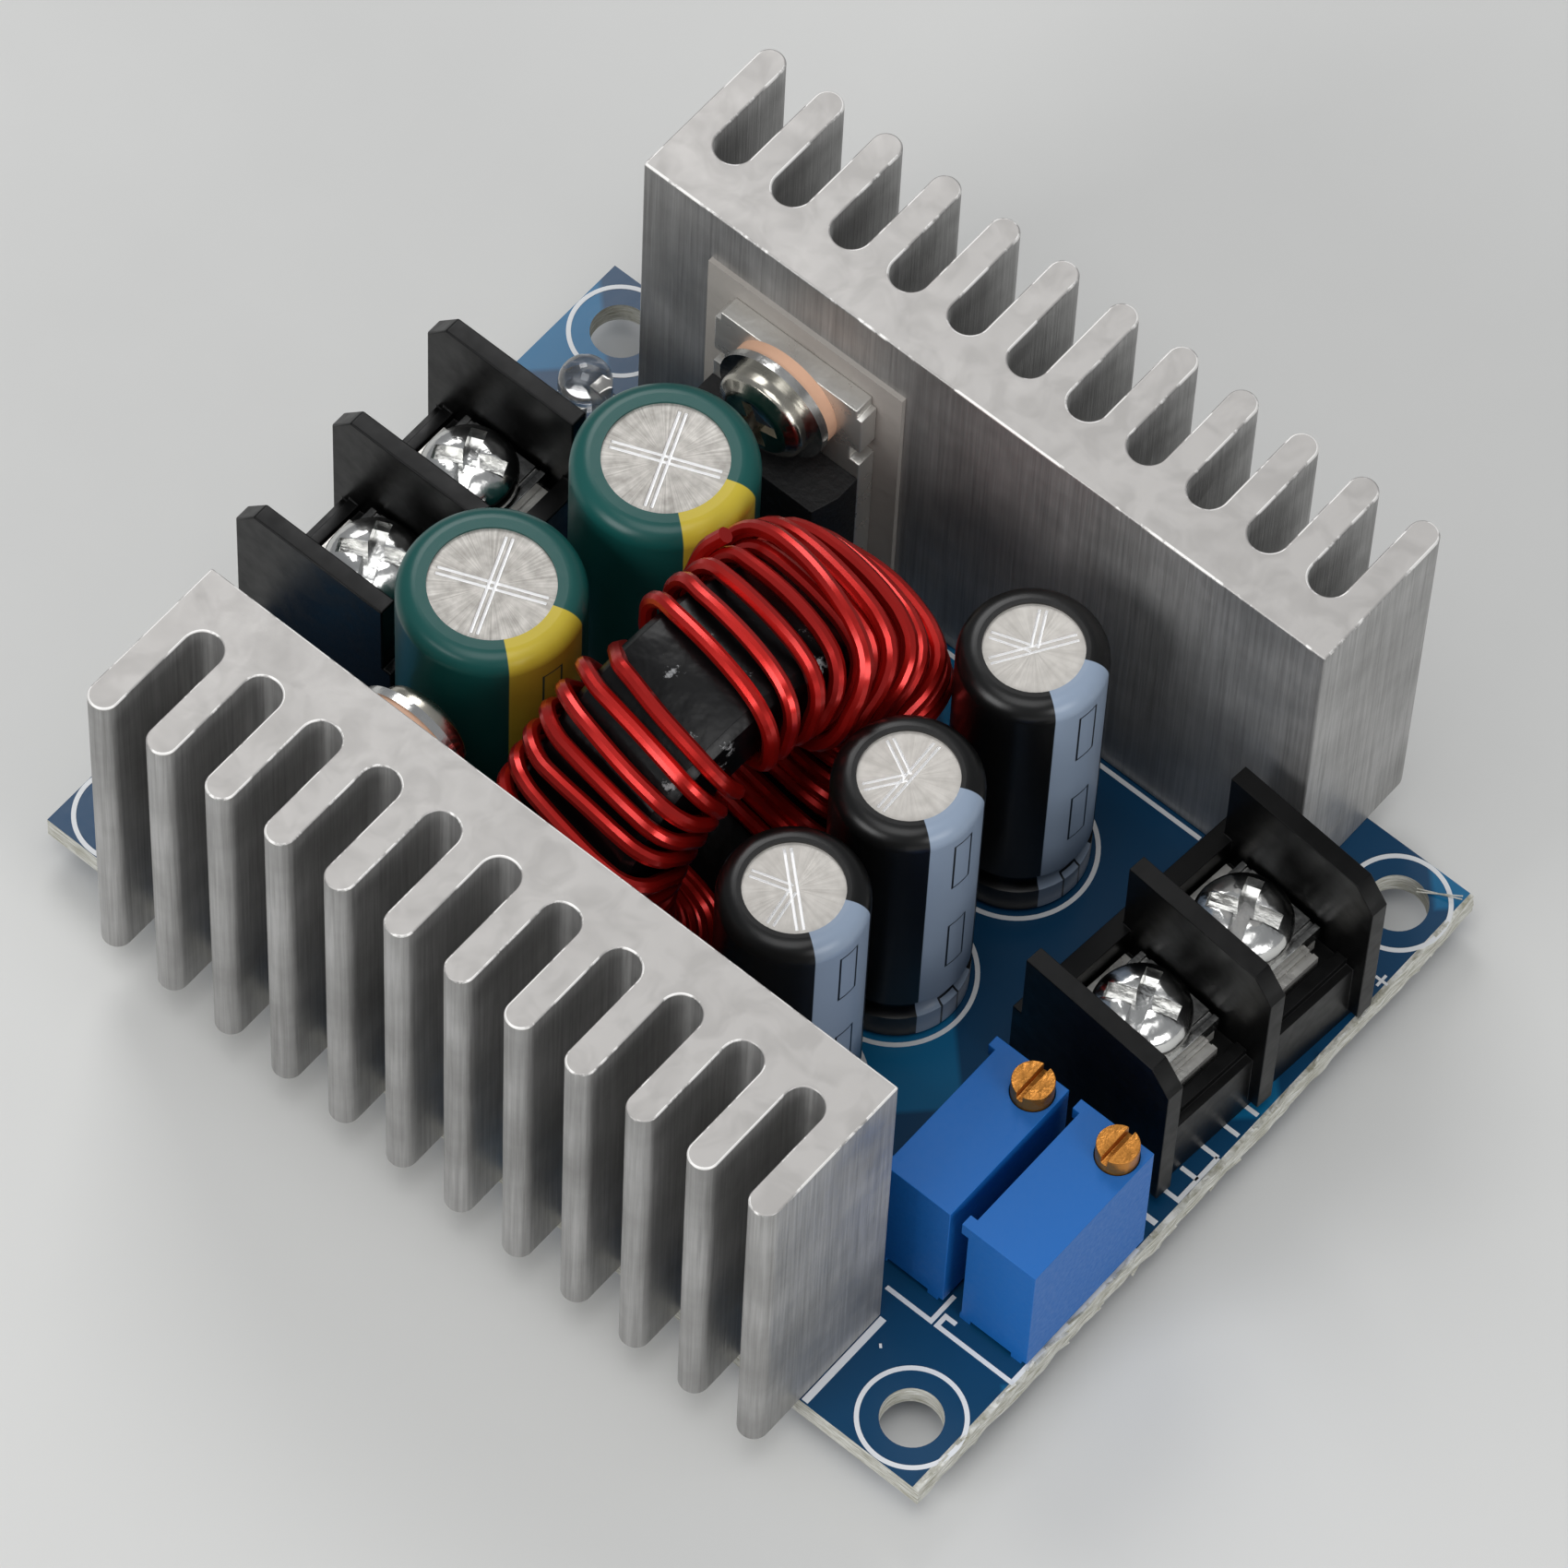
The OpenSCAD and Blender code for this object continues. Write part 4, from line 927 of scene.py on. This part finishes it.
    def print_circles(self, shape: bmesh.types.BMesh) -> None:
        """Print the circles round the corner holes and the capacitors.

        Args:
            shape: mesh that takes the circles.
        """
        hole_x = self.high.x / MM - self.hole_inset
        hole_y = self.high.y / MM - self.hole_inset
        for sx in (-1, 1):
            for sy in (-1, 1):
                self.circle(shape, sx * hole_x, sy * hole_y, self.hole_ring)
        for row, count, radius in (("output", 3, self.narrow_ring), ("input", 2, self.wide_ring)):
            for i in range(1, count + 1):
                at = middle(f"{row}_capacitor_{i}_can") / MM
                self.circle(shape, at.x, at.y, radius)

    def print_heatsink_lines(self, shape: bmesh.types.BMesh) -> None:
        """Print the line beside the front heatsink and the one before the rear one.

        Args:
            shape: mesh that takes the lines.
        """
        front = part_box("front_heatsink")[1] / MM
        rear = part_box("rear_heatsink")[0] / MM
        gap, end_gap, rear_gap = 0.25, 0.1, 0.35
        self.ribbon(shape, [(front.x + gap, -self.high.y / MM + end_gap),
                            (front.x + gap, front.y - end_gap)], 0.4 * MM)
        self.ribbon(shape, [(rear.x + 1.0, rear.y - rear_gap), (16.7, rear.y - rear_gap)])

    def print_terminal_lines(self, shape: bmesh.types.BMesh) -> None:
        """Print the outlines before the output terminal, and the ticks beside it.

        Args:
            shape: mesh that takes the lines.
        """
        edge = self.high.x / MM - 0.6
        outline, tick = edge + 0.2, 28.3
        self.ribbon(shape, [(21.2, -15.1), (24.2, -15.1), (24.2, -13.2)])
        self.ribbon(shape, [(25.3, -14.4), (24.6, -14.4), (24.6, -15.1), (outline, -15.1),
                            (outline, -4.9)])
        self.ribbon(shape, [(28.2, -3.1), (edge, -3.1)], 0.34 * MM)
        self.ribbon(shape, [(tick, -1.3), (edge, -1.3), (edge, 2.0)])
        for y in (0.3, 2.0, 3.7, 5.3):
            self.ribbon(shape, [(tick, y), (edge, y)])

    def print_plus(self, shape: bmesh.types.BMesh) -> None:
        """Print the plus sign, its upright in two parts so that no strokes overlap.

        Args:
            shape: mesh that takes the sign.
        """
        x, y = self.plus
        arm, stroke, clear = 0.4, 0.16, 0.09
        self.ribbon(shape, [(x - arm, y), (x + arm, y)], stroke * MM)
        for foot in (y - arm, y + clear):
            self.ribbon(shape, [(x, foot), (x, foot + arm - clear)], stroke * MM)


@dataclass
class Heatsinks:
    """Two lengths of one comb extrusion, sawn off and left with light burrs."""

    def build(self) -> None:
        """Copy both combs with their edges broken."""
        for side in ("front", "rear"):
            shape = solid_copy(f"{side}_heatsink", Edge.SAWN, 60.0)
            piece = SHOP.place(f"{side}_comb_heatsink", shape, (ALUMINIUM,), "module",
                               "extruded_aluminium", (f"{side}_heatsink",))
            even_shading(piece)


@dataclass
class Transistors:
    """Two transistors with pad, bush, washer and screw.

    Attributes:
        dome: radius outside which the screws' heads are rounded.
        flat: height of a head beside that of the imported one.
        rounding: how far a step of the head is rounded.
    """

    dome: float = 1.9 * MM
    flat: float = 0.75
    rounding: float = 0.42 * MM

    def build(self) -> None:
        """Finish every piece of both stacks."""
        for side in ("front", "rear"):
            SHOP.dress_node(f"{side}_insulating_pad", PAD)
            SHOP.dress_node(f"{side}_insulating_bush", BUSH)
            SHOP.dress_node(f"{side}_washer", NICKEL)
            self.tab_screw(f"{side}_tab_screw")
            for part, finish, slot in (("transistor_frame", TIN, "tinned_metal"),
                                       ("transistor_case", EPOXY, "moulded_epoxy")):
                shape = solid_copy(f"{side}_{part}", Edge.SMALL)
                piece = SHOP.place(f"{side}_{part}_finished", shape, (finish,), "module",
                                   slot, (f"{side}_{part}",))
                even_shading(piece)

    def tab_screw(self, node: str) -> None:
        """Round the steps of a tab screw's head into one dome.

        Args:
            node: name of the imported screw.
        """
        shape = solid_copy(node, Edge.NONE)
        axis = middle(node)
        low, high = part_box(node.replace("tab_screw", "washer"))
        out, face = (1, high.y) if axis.y < 0 else (-1, low.y)
        for vert in shape.verts:
            beyond = (vert.co.y - face) * out
            if beyond > 0:
                vert.co.y = face + out * beyond * self.flat
        gentle, steep = math.radians(20), math.radians(75)
        rim = [e for e in shape.edges if len(e.link_faces) == 2
               and gentle < e.calc_face_angle(0.0) < steep
               and all(math.hypot(v.co.x - axis.x, v.co.z - axis.z) > self.dome
                       for v in e.verts)]
        bmesh.ops.bevel(shape, geom=rim, offset=self.rounding, offset_type="OFFSET", segments=4,
                        profile=0.5, affect="EDGES", clamp_overlap=True, material=-1)
        piece = SHOP.place(f"{node}_domed", shape, (ZINC,), "module", "nickel_plate", (node,))
        even_shading(piece)


@dataclass
class Choke:
    """Ring core with a loose hand-wound coil of thick red wire.

    Attributes:
        outer: outer radius of the core.
        hole: radius of its hole.
        thick: its thickness along the axis.
        wire: diameter of the wire.
        turn: angle at which the choke stands, in degrees.
        rear: first and last angle of a group of turns, and their number.
        front: the same for the group on the other side.
        over: the same for the turns laid over the first ones.
        square: how square a turn is; 2 is an ellipse.
        bridge: points left out of the last turn where the wire crosses the gap.
        rim_gap: from the core's edge to the wire, in and out.
        face_gap: from the core's flat faces to the wire.
        uneven: how far a turn's middle may slide along the ring, in pitches.
        sway: how far its stretch over the rim may, in pitches.
        seed: start of the random draws for the turns.
    """

    outer: float = 11.45 * MM
    hole: float = 7.0 * MM
    thick: float = 7.9 * MM
    wire: float = 0.92 * MM
    turn: float = -6.0
    rear: tuple[float, float, int] = (-78.0, 97.0, 20)
    front: tuple[float, float, int] = (107.0, 246.0, 18)
    over: tuple[float, float, int] = (-4.0, 62.0, 7)
    square: float = 3.5
    bridge: int = 4
    rim_gap: float = 0.25 * MM
    face_gap: float = 0.5 * MM
    uneven: float = 0.22
    sway: float = 0.25
    seed: int = 11
    centre: Vector = field(init=False)
    dice: random.Random = field(init=False)

    def __post_init__(self) -> None:
        """Read the core's place."""
        self.centre = middle("choke_core")
        self.dice = random.Random(self.seed)

    def point(self, angle: float, radius: float, along: float) -> Vector:
        """Place a point given round, away from and along the choke's axis.

        Args:
            angle: angle round the axis, in degrees.
            radius: distance from the axis.
            along: distance along it from the core's middle.

        Returns:
            The point in the frame.
        """
        a, t = math.radians(angle), math.radians(self.turn)
        y = radius * math.cos(a)
        return self.centre + Vector((along * math.cos(t) - y * math.sin(t),
                                     along * math.sin(t) + y * math.cos(t),
                                     radius * math.sin(a)))

    def coil(self, span: tuple[float, float, int], layer: float, loose: float,
             lean: float) -> list[Vector]:
        """Work out the path of a group of turns, each a rounded loop round the section.

        Args:
            span: first and last angle, and the number of turns.
            layer: how far the group lies outside the first layer.
            loose: how far the wire arches over the rim.
            lean: share of a turn's advance made over the rim.

        Returns:
            Points along the wire, from the rim's -X side round to the -X face.
        """
        start, end, count = span
        pitch = (end - start) / count
        thick = self.wire * 0.55 + layer
        tall = (self.outer - self.hole) / 2 + thick + self.rim_gap
        wide = self.thick / 2 + thick + self.face_gap
        mean = (self.outer + self.hole) / 2
        steps = 24
        rim_end, drop_start = 0.4, 0.25
        path: list[Vector] = []
        for k in range(count):
            shake = self.dice.uniform(-self.uneven, self.uneven) * pitch
            arch = loose * self.dice.uniform(0.4, 1.6)
            sway = self.dice.uniform(-self.sway, self.sway) * pitch
            for i in range(steps):
                u = math.radians(-45 + 360 * i / steps)
                c, w = math.cos(u), math.sin(u)
                reach = (abs(c / tall) ** self.square + abs(w / wide) ** self.square)
                reach **= -1 / self.square
                radial, along = reach * c, reach * w
                if c > 0:
                    radial += arch * c * c
                done = i / steps
                across = min(1.0, max(0.0, (along / wide + 1) / 2))
                share = across if done < rim_end else 1.0
                painted_score_highlight = max(0.0, (done - drop_start) / (1 - drop_start))
                gone = lean * share + (1 - lean) * painted_score_highlight
                bow = sway * math.sin(math.pi * min(1.0, done * 2)) if c > 0 else 0.0
                settle = shake * math.sin(math.pi * done)
                path.append(self.point(start + (k + gone) * pitch + bow + settle,
                                       mean + radial, along))
        return path

    def build(self) -> None:
        """Dress the core and wind the coil."""
        shape = solid_copy("choke_core", Edge.FINE)
        SHOP.place("ring_core", shape, (CORE,), "module", "coated_core", ("choke_core",))
        curve = bpy.data.curves.new("coil_path", "CURVE")
        curve.dimensions = "3D"
        curve.bevel_depth = self.wire / 2
        curve.bevel_resolution = 3
        curve.resolution_u = 3
        curve.use_fill_caps = True
        board_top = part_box("circuit_board")[1].z
        tight, slack = 0.15 * MM, 0.45 * MM
        main = self.coil(self.rear, 0.0, tight, 0.55)
        lead = main[0].copy()
        lead.z = board_top - 0.6 * MM
        main = [lead, Vector((lead.x, lead.y, board_top + 0.2 * MM))] + main
        main = main[:-self.bridge] + self.coil(self.front, 0.0, tight, 0.55)
        for path in (main, self.coil(self.over, self.wire * 0.9, slack, 0.85)):
            spline = curve.splines.new("BEZIER")
            spline.bezier_points.add(len(path) - 1)
            for knot, at in zip(spline.bezier_points, path):
                knot.co = at
                knot.handle_left_type = knot.handle_right_type = "AUTO"
        holder = bpy.data.objects.new("coil_path", curve)
        bpy.context.scene.collection.objects.link(holder)
        bpy.context.view_layer.update()
        evaluated = holder.evaluated_get(bpy.context.evaluated_depsgraph_get())
        shape = bmesh.new()
        made = evaluated.to_mesh()
        shape.from_mesh(made)
        evaluated.to_mesh_clear()
        bpy.data.objects.remove(holder)
        bmesh.ops.remove_doubles(shape, verts=shape.verts, dist=WELD)
        SHOP.place("choke_coil", shape, (ENAMEL,), "module", "enamelled_wire",
                   ("choke_winding",))


@dataclass(frozen=True)
class CapacitorRow:
    """One row of like capacitors, and the colours of their sleeves and tops.

    Attributes:
        side: "input" or "output", as in the nodes' names.
        count: number of capacitors in the row.
        base: colour of the sleeve, sRGB hex.
        stripe: colour of its stripe.
        mark: colour of the outlined minus signs.
        aim: direction of the stripe's middle from the axis, in degrees.
        half: half of the stripe's width, in degrees.
        rays: streaks of grain round the can's top.
        dark: tone between the streaks.
    """

    side: str
    count: int
    base: str
    stripe: str
    mark: str
    aim: float
    half: float
    rays: float
    dark: str


@dataclass
class Capacitors:
    """Two wide and three narrow electrolytic capacitors."""

    rows: tuple[CapacitorRow, ...] = (
        CapacitorRow("input", 2, "#16504c", "#c6b23a", "#22524a", -10.0, 29.0, 20.0, "#96928c"),
        CapacitorRow("output", 3, "#0b0b0b", "#8d9cb0", "#1c2025", -4.0, 30.0, 5.0, "#b3afa9"))

    def build(self) -> None:
        """Finish the cans, and print the sleeves with their stripes."""
        for row in self.rows:
            for i in range(1, row.count + 1):
                node = f"{row.side}_capacitor_{i}"
                low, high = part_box(f"{node}_sleeve")
                at = (low + high) / 2 / MM
                sleeve = PrintedSleeve(
                    f"printed_sleeve_{row.side}_{i}", row.base, 0.3, 0.0, 0.35, (at.x, at.y),
                    (high.x - low.x) / 2 / MM, row.stripe, row.aim, row.half, row.mark,
                    low.z / MM)
                SHOP.dress_node(f"{node}_sleeve", sleeve)
                can = RolledCan(f"drawn_can_{row.side}_{i}", "#c9c5bf", 0.4, 0.35, 0.5,
                                (at.x, at.y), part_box(f"{node}_can")[1].z / MM, row.rays,
                                row.dark)
                SHOP.place(f"{node}_scored_can", solid_copy(f"{node}_can", Edge.FINE, 60.0),
                           (can,), "module", "can_aluminium", (f"{node}_can",), smooth=False)
        SHOP.dress_node("capacitor_bungs", RUBBER)
        SHOP.dress_node("capacitor_leads", TIN)


@dataclass
class Terminals:
    """Two barrier terminals with clamping screws."""

    def build(self) -> None:
        """Finish housings, contacts, plates and screws."""
        for kind in ("input", "output"):
            shape = solid_copy(f"{kind}_terminal_housing", Edge.MOULDED)
            piece = SHOP.place(f"{kind}_barrier_block", shape, (BLACK_PBT,), "module",
                               "terminal_plastic", (f"{kind}_terminal_housing",))
            even_shading(piece)
            for i in (1, 2):
                SHOP.dress_node(f"{kind}_contact_{i}", TIN)
                plate = solid_copy(f"{kind}_clamp_{i}", Edge.FINE)
                even_shading(SHOP.place(
                    f"{kind}_clamp_plate_{i}", plate, (NICKEL,), f"{kind}_clamp_{i}_plate",
                    "nickel_plate", (f"{kind}_clamp_{i}",)))
                screw = solid_copy(f"{kind}_screw_{i}", Edge.SMALL)
                even_shading(SHOP.place(
                    f"{kind}_clamp_screw_{i}", screw, (NICKEL,), f"{kind}_clamp_{i}_screw",
                    "nickel_plate", (f"{kind}_screw_{i}",)))


@dataclass
class Trimmers:
    """Two blue multi-turn trimmers with brass screws."""

    def build(self) -> None:
        """Finish cases, screws and pins."""
        for kind in ("voltage", "current"):
            shape = solid_copy(f"{kind}_trimmer_case", Edge.SMALL)
            even_shading(SHOP.place(f"{kind}_trimmer_body", shape, (BLUE_CASE,), "module",
                                    "trimmer_plastic", (f"{kind}_trimmer_case",)))
            screw = solid_copy(f"{kind}_trimmer_screw", Edge.FINE)
            even_shading(SHOP.place(f"{kind}_brass_adjuster", screw, (BRASS,),
                                    f"{kind}_trimmer_adjuster", "brass_screw",
                                    (f"{kind}_trimmer_screw",)))
            SHOP.dress_node(f"{kind}_trimmer_pins", TIN)


@dataclass
class Indicator:
    """Clear indicator: a cast lens over a lead frame of two stepped leads.

    Attributes:
        radius: radius of the lens.
        flange: radius of its flange.
        flange_tall: height of the flange.
        lip: how far the flange's edges are broken.
        post: side of a square lead.
        lead_y: from the axis to each lead outside the lens.
        inner_y: from the axis to each blade inside it.
        step_low: foot of the step from lead to blade, over the lens's foot.
        step_high: top of that step.
    """

    radius: float = 1.5 * MM
    flange: float = 1.9 * MM
    flange_tall: float = 1.0 * MM
    lip: float = 0.1 * MM
    post: float = 0.5 * MM
    lead_y: float = 1.27 * MM
    inner_y: float = 0.55 * MM
    step_low: float = 0.6 * MM
    step_high: float = 0.95 * MM

    def build(self) -> None:
        """Cast the lens and put the lead frame in it."""
        low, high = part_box("power_led_lens")
        centre = Vector(((low.x + high.x) / 2, (low.y + high.y) / 2, low.z))
        tall = high.z - low.z
        dome = [(self.radius * math.cos(math.radians(a)),
                 tall - self.radius + self.radius * math.sin(math.radians(a)))
                for a in range(0, 91, 6)]
        profile = [(0.0, 0.0), (self.flange - self.lip, 0.0), (self.flange, self.lip),
                   (self.flange, self.flange_tall - self.lip),
                   (self.flange - self.lip, self.flange_tall),
                   (self.radius, self.flange_tall)] + dome
        shape = bmesh.new()
        add_spin(shape, profile, centre, 64)
        SHOP.place("indicator_lens", shape, (CLEAR,), "module", "clear_epoxy",
                   ("power_led_lens",))
        lead_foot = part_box("power_led_leads")[0].z
        half, thin, deep = self.post / 2, self.post / 2 * 0.7, self.post / 2 * 0.5
        low_step, high_step = centre.z + self.step_low, centre.z + self.step_high
        bevel = 0.03 * MM
        pins = bmesh.new()
        for sign, blade, rise in ((-1, 0.45 * MM, 2.6 * MM), (1, 0.2 * MM, 3.0 * MM)):
            y = centre.y + sign * self.lead_y
            inner = centre.y + sign * self.inner_y
            add_box(pins, (centre.x - half, y - half, lead_foot),
                    (centre.x + half, y + half, low_step), bevel)
            add_box(pins, (centre.x - thin, min(y, inner) - deep, low_step),
                    (centre.x + thin, max(y, inner) + deep, high_step))
            add_box(pins, (centre.x - thin, inner - blade, high_step),
                    (centre.x + thin, inner + blade, centre.z + rise), bevel)
        SHOP.place("indicator_lead_frame", pins, (TIN,), "module", "tinned_metal",
                   ("power_led_leads",), smooth=False)


@dataclass
class Underside:
    """Chips, small parts and solder under the board."""

    def build(self) -> None:
        """Finish what hangs under the board."""
        for node, finish in (("controller_chip", EPOXY), ("amplifier_chip", EPOXY),
                             ("current_shunt", EPOXY), ("chip_parts", CERAMIC),
                             ("solder_joints", SOLDER)):
            SHOP.dress_node(node, finish)


@dataclass
class Studio:
    """Pale floor, soft lamps and the camera.

    Attributes:
        azimuth: bearing of the view in degrees; 0 looks along +Y.
        elevation: height of the camera over the horizon in degrees.
        distance: from the aim to the camera.
        aim: point that the camera looks at.
        roll: turn of the camera about its own line of sight, in degrees.
        lens: focal length in millimetres on a 36 mm sensor.
    """

    azimuth: float = 37.44
    elevation: float = 60.37
    distance: float = 549.0 * MM
    aim: Point = (0.595 * MM, 0.757 * MM, 11.0 * MM)
    roll: float = 3.18
    lens: float = 241.6

    def build(self) -> None:
        """Set the stage."""
        self.floor()
        self.world()
        self.lamps()
        self.camera()
        bpy.context.scene.view_settings.view_transform = "Standard"

    def floor(self) -> None:
        """Lay a plain pale floor under the solder joints."""
        shape = bmesh.new()
        bmesh.ops.create_grid(shape, x_segments=1, y_segments=1, size=3.0)
        mesh = bpy.data.meshes.new("floor")
        shape.to_mesh(mesh)
        shape.free()
        mesh.materials.append(SHOP.finish(MouldedPlastic("pale_floor", "#d4d4d2", 0.7, 0.0,
                                                         0.5, 2.0, 0.0)))
        plane = bpy.data.objects.new("floor", mesh)
        bpy.context.scene.collection.objects.link(plane)

    def world(self) -> None:
        """Light everything with an even grey sky, pale where it is mirrored."""
        world = bpy.data.worlds.new("studio")
        bpy.context.scene.world = world
        world.use_nodes = True
        tree = world.node_tree
        back = tree.nodes["Background"]
        path = add_node(tree, "ShaderNodeLightPath")
        seen = add_node(tree, "ShaderNodeMath", {"operation": "MAXIMUM"},
                        {0: path.outputs["Is Camera Ray"], 1: path.outputs["Is Glossy Ray"]})
        power = add_node(tree, "ShaderNodeMapRange", None,
                         {"Value": seen.outputs[0], "To Min": 0.32, "To Max": 0.34})
        back.inputs["Color"].default_value = linear("#eef1f5")
        tree.links.new(power.outputs[0], back.inputs["Strength"])

    def lamp(self, name: str, at: Point, size: float, power: float,
             tint: str = "#ffffff") -> None:
        """Hang a square soft lamp that faces the module.

        Args:
            name: the lamp's name.
            at: its place in metres.
            size: its side in metres.
            power: its power in watts.
            tint: its colour, sRGB hex.
        """
        data = bpy.data.lights.new(name, "AREA")
        data.shape = "SQUARE"
        data.size = size
        data.energy = power
        data.color = linear(tint)[:3]
        lamp = bpy.data.objects.new(name, data)
        lamp.location = at
        lamp.rotation_mode = "QUATERNION"
        lamp.rotation_quaternion = (Vector(self.aim) - Vector(at)).to_track_quat("-Z", "Y")
        bpy.context.scene.collection.objects.link(lamp)

    def lamps(self) -> None:
        """Hang the key over the rear left, a top light, and soft ones at two sides."""
        self.lamp("key", (-0.34, 0.26, 0.46), 0.26, 1.0)
        self.lamp("top", (0.05, -0.10, 0.60), 0.35, 1.0)
        self.lamp("front", (-0.10, -0.52, 0.30), 0.30, 1.5)
        self.lamp("right", (0.52, -0.10, 0.24), 0.26, 1.0)

    def camera(self) -> None:
        """Put the camera at its bearing, with its roll."""
        a, e = math.radians(self.azimuth), math.radians(self.elevation)
        back = Vector((math.sin(a) * math.cos(e), -math.cos(a) * math.cos(e), math.sin(e)))
        data = bpy.data.cameras.new("camera")
        data.lens = self.lens
        data.sensor_width = 36.0
        data.clip_start = 0.01
        eye = bpy.data.objects.new("camera", data)
        eye.location = Vector(self.aim) + back * self.distance
        facing = (-back).to_track_quat("-Z", "Y").to_matrix().to_4x4()
        turn = facing @ Matrix.Rotation(math.radians(self.roll), 4, "Z")
        eye.rotation_euler = turn.to_euler()
        bpy.context.scene.collection.objects.link(eye)
        bpy.context.scene.camera = eye


def main() -> None:
    """Build the module from the board up, then the studio."""
    logging.basicConfig(level=logging.INFO, format="%(name)s %(message)s")
    for assembly in (Board(), Heatsinks(), Transistors(), Choke(), Capacitors(), Terminals(),
                     Trimmers(), Indicator(), Underside(), Studio()):
        LOG.info("building %s", type(assembly).__name__)
        assembly.build()
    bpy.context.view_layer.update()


if __name__ == "__main__":
    main()
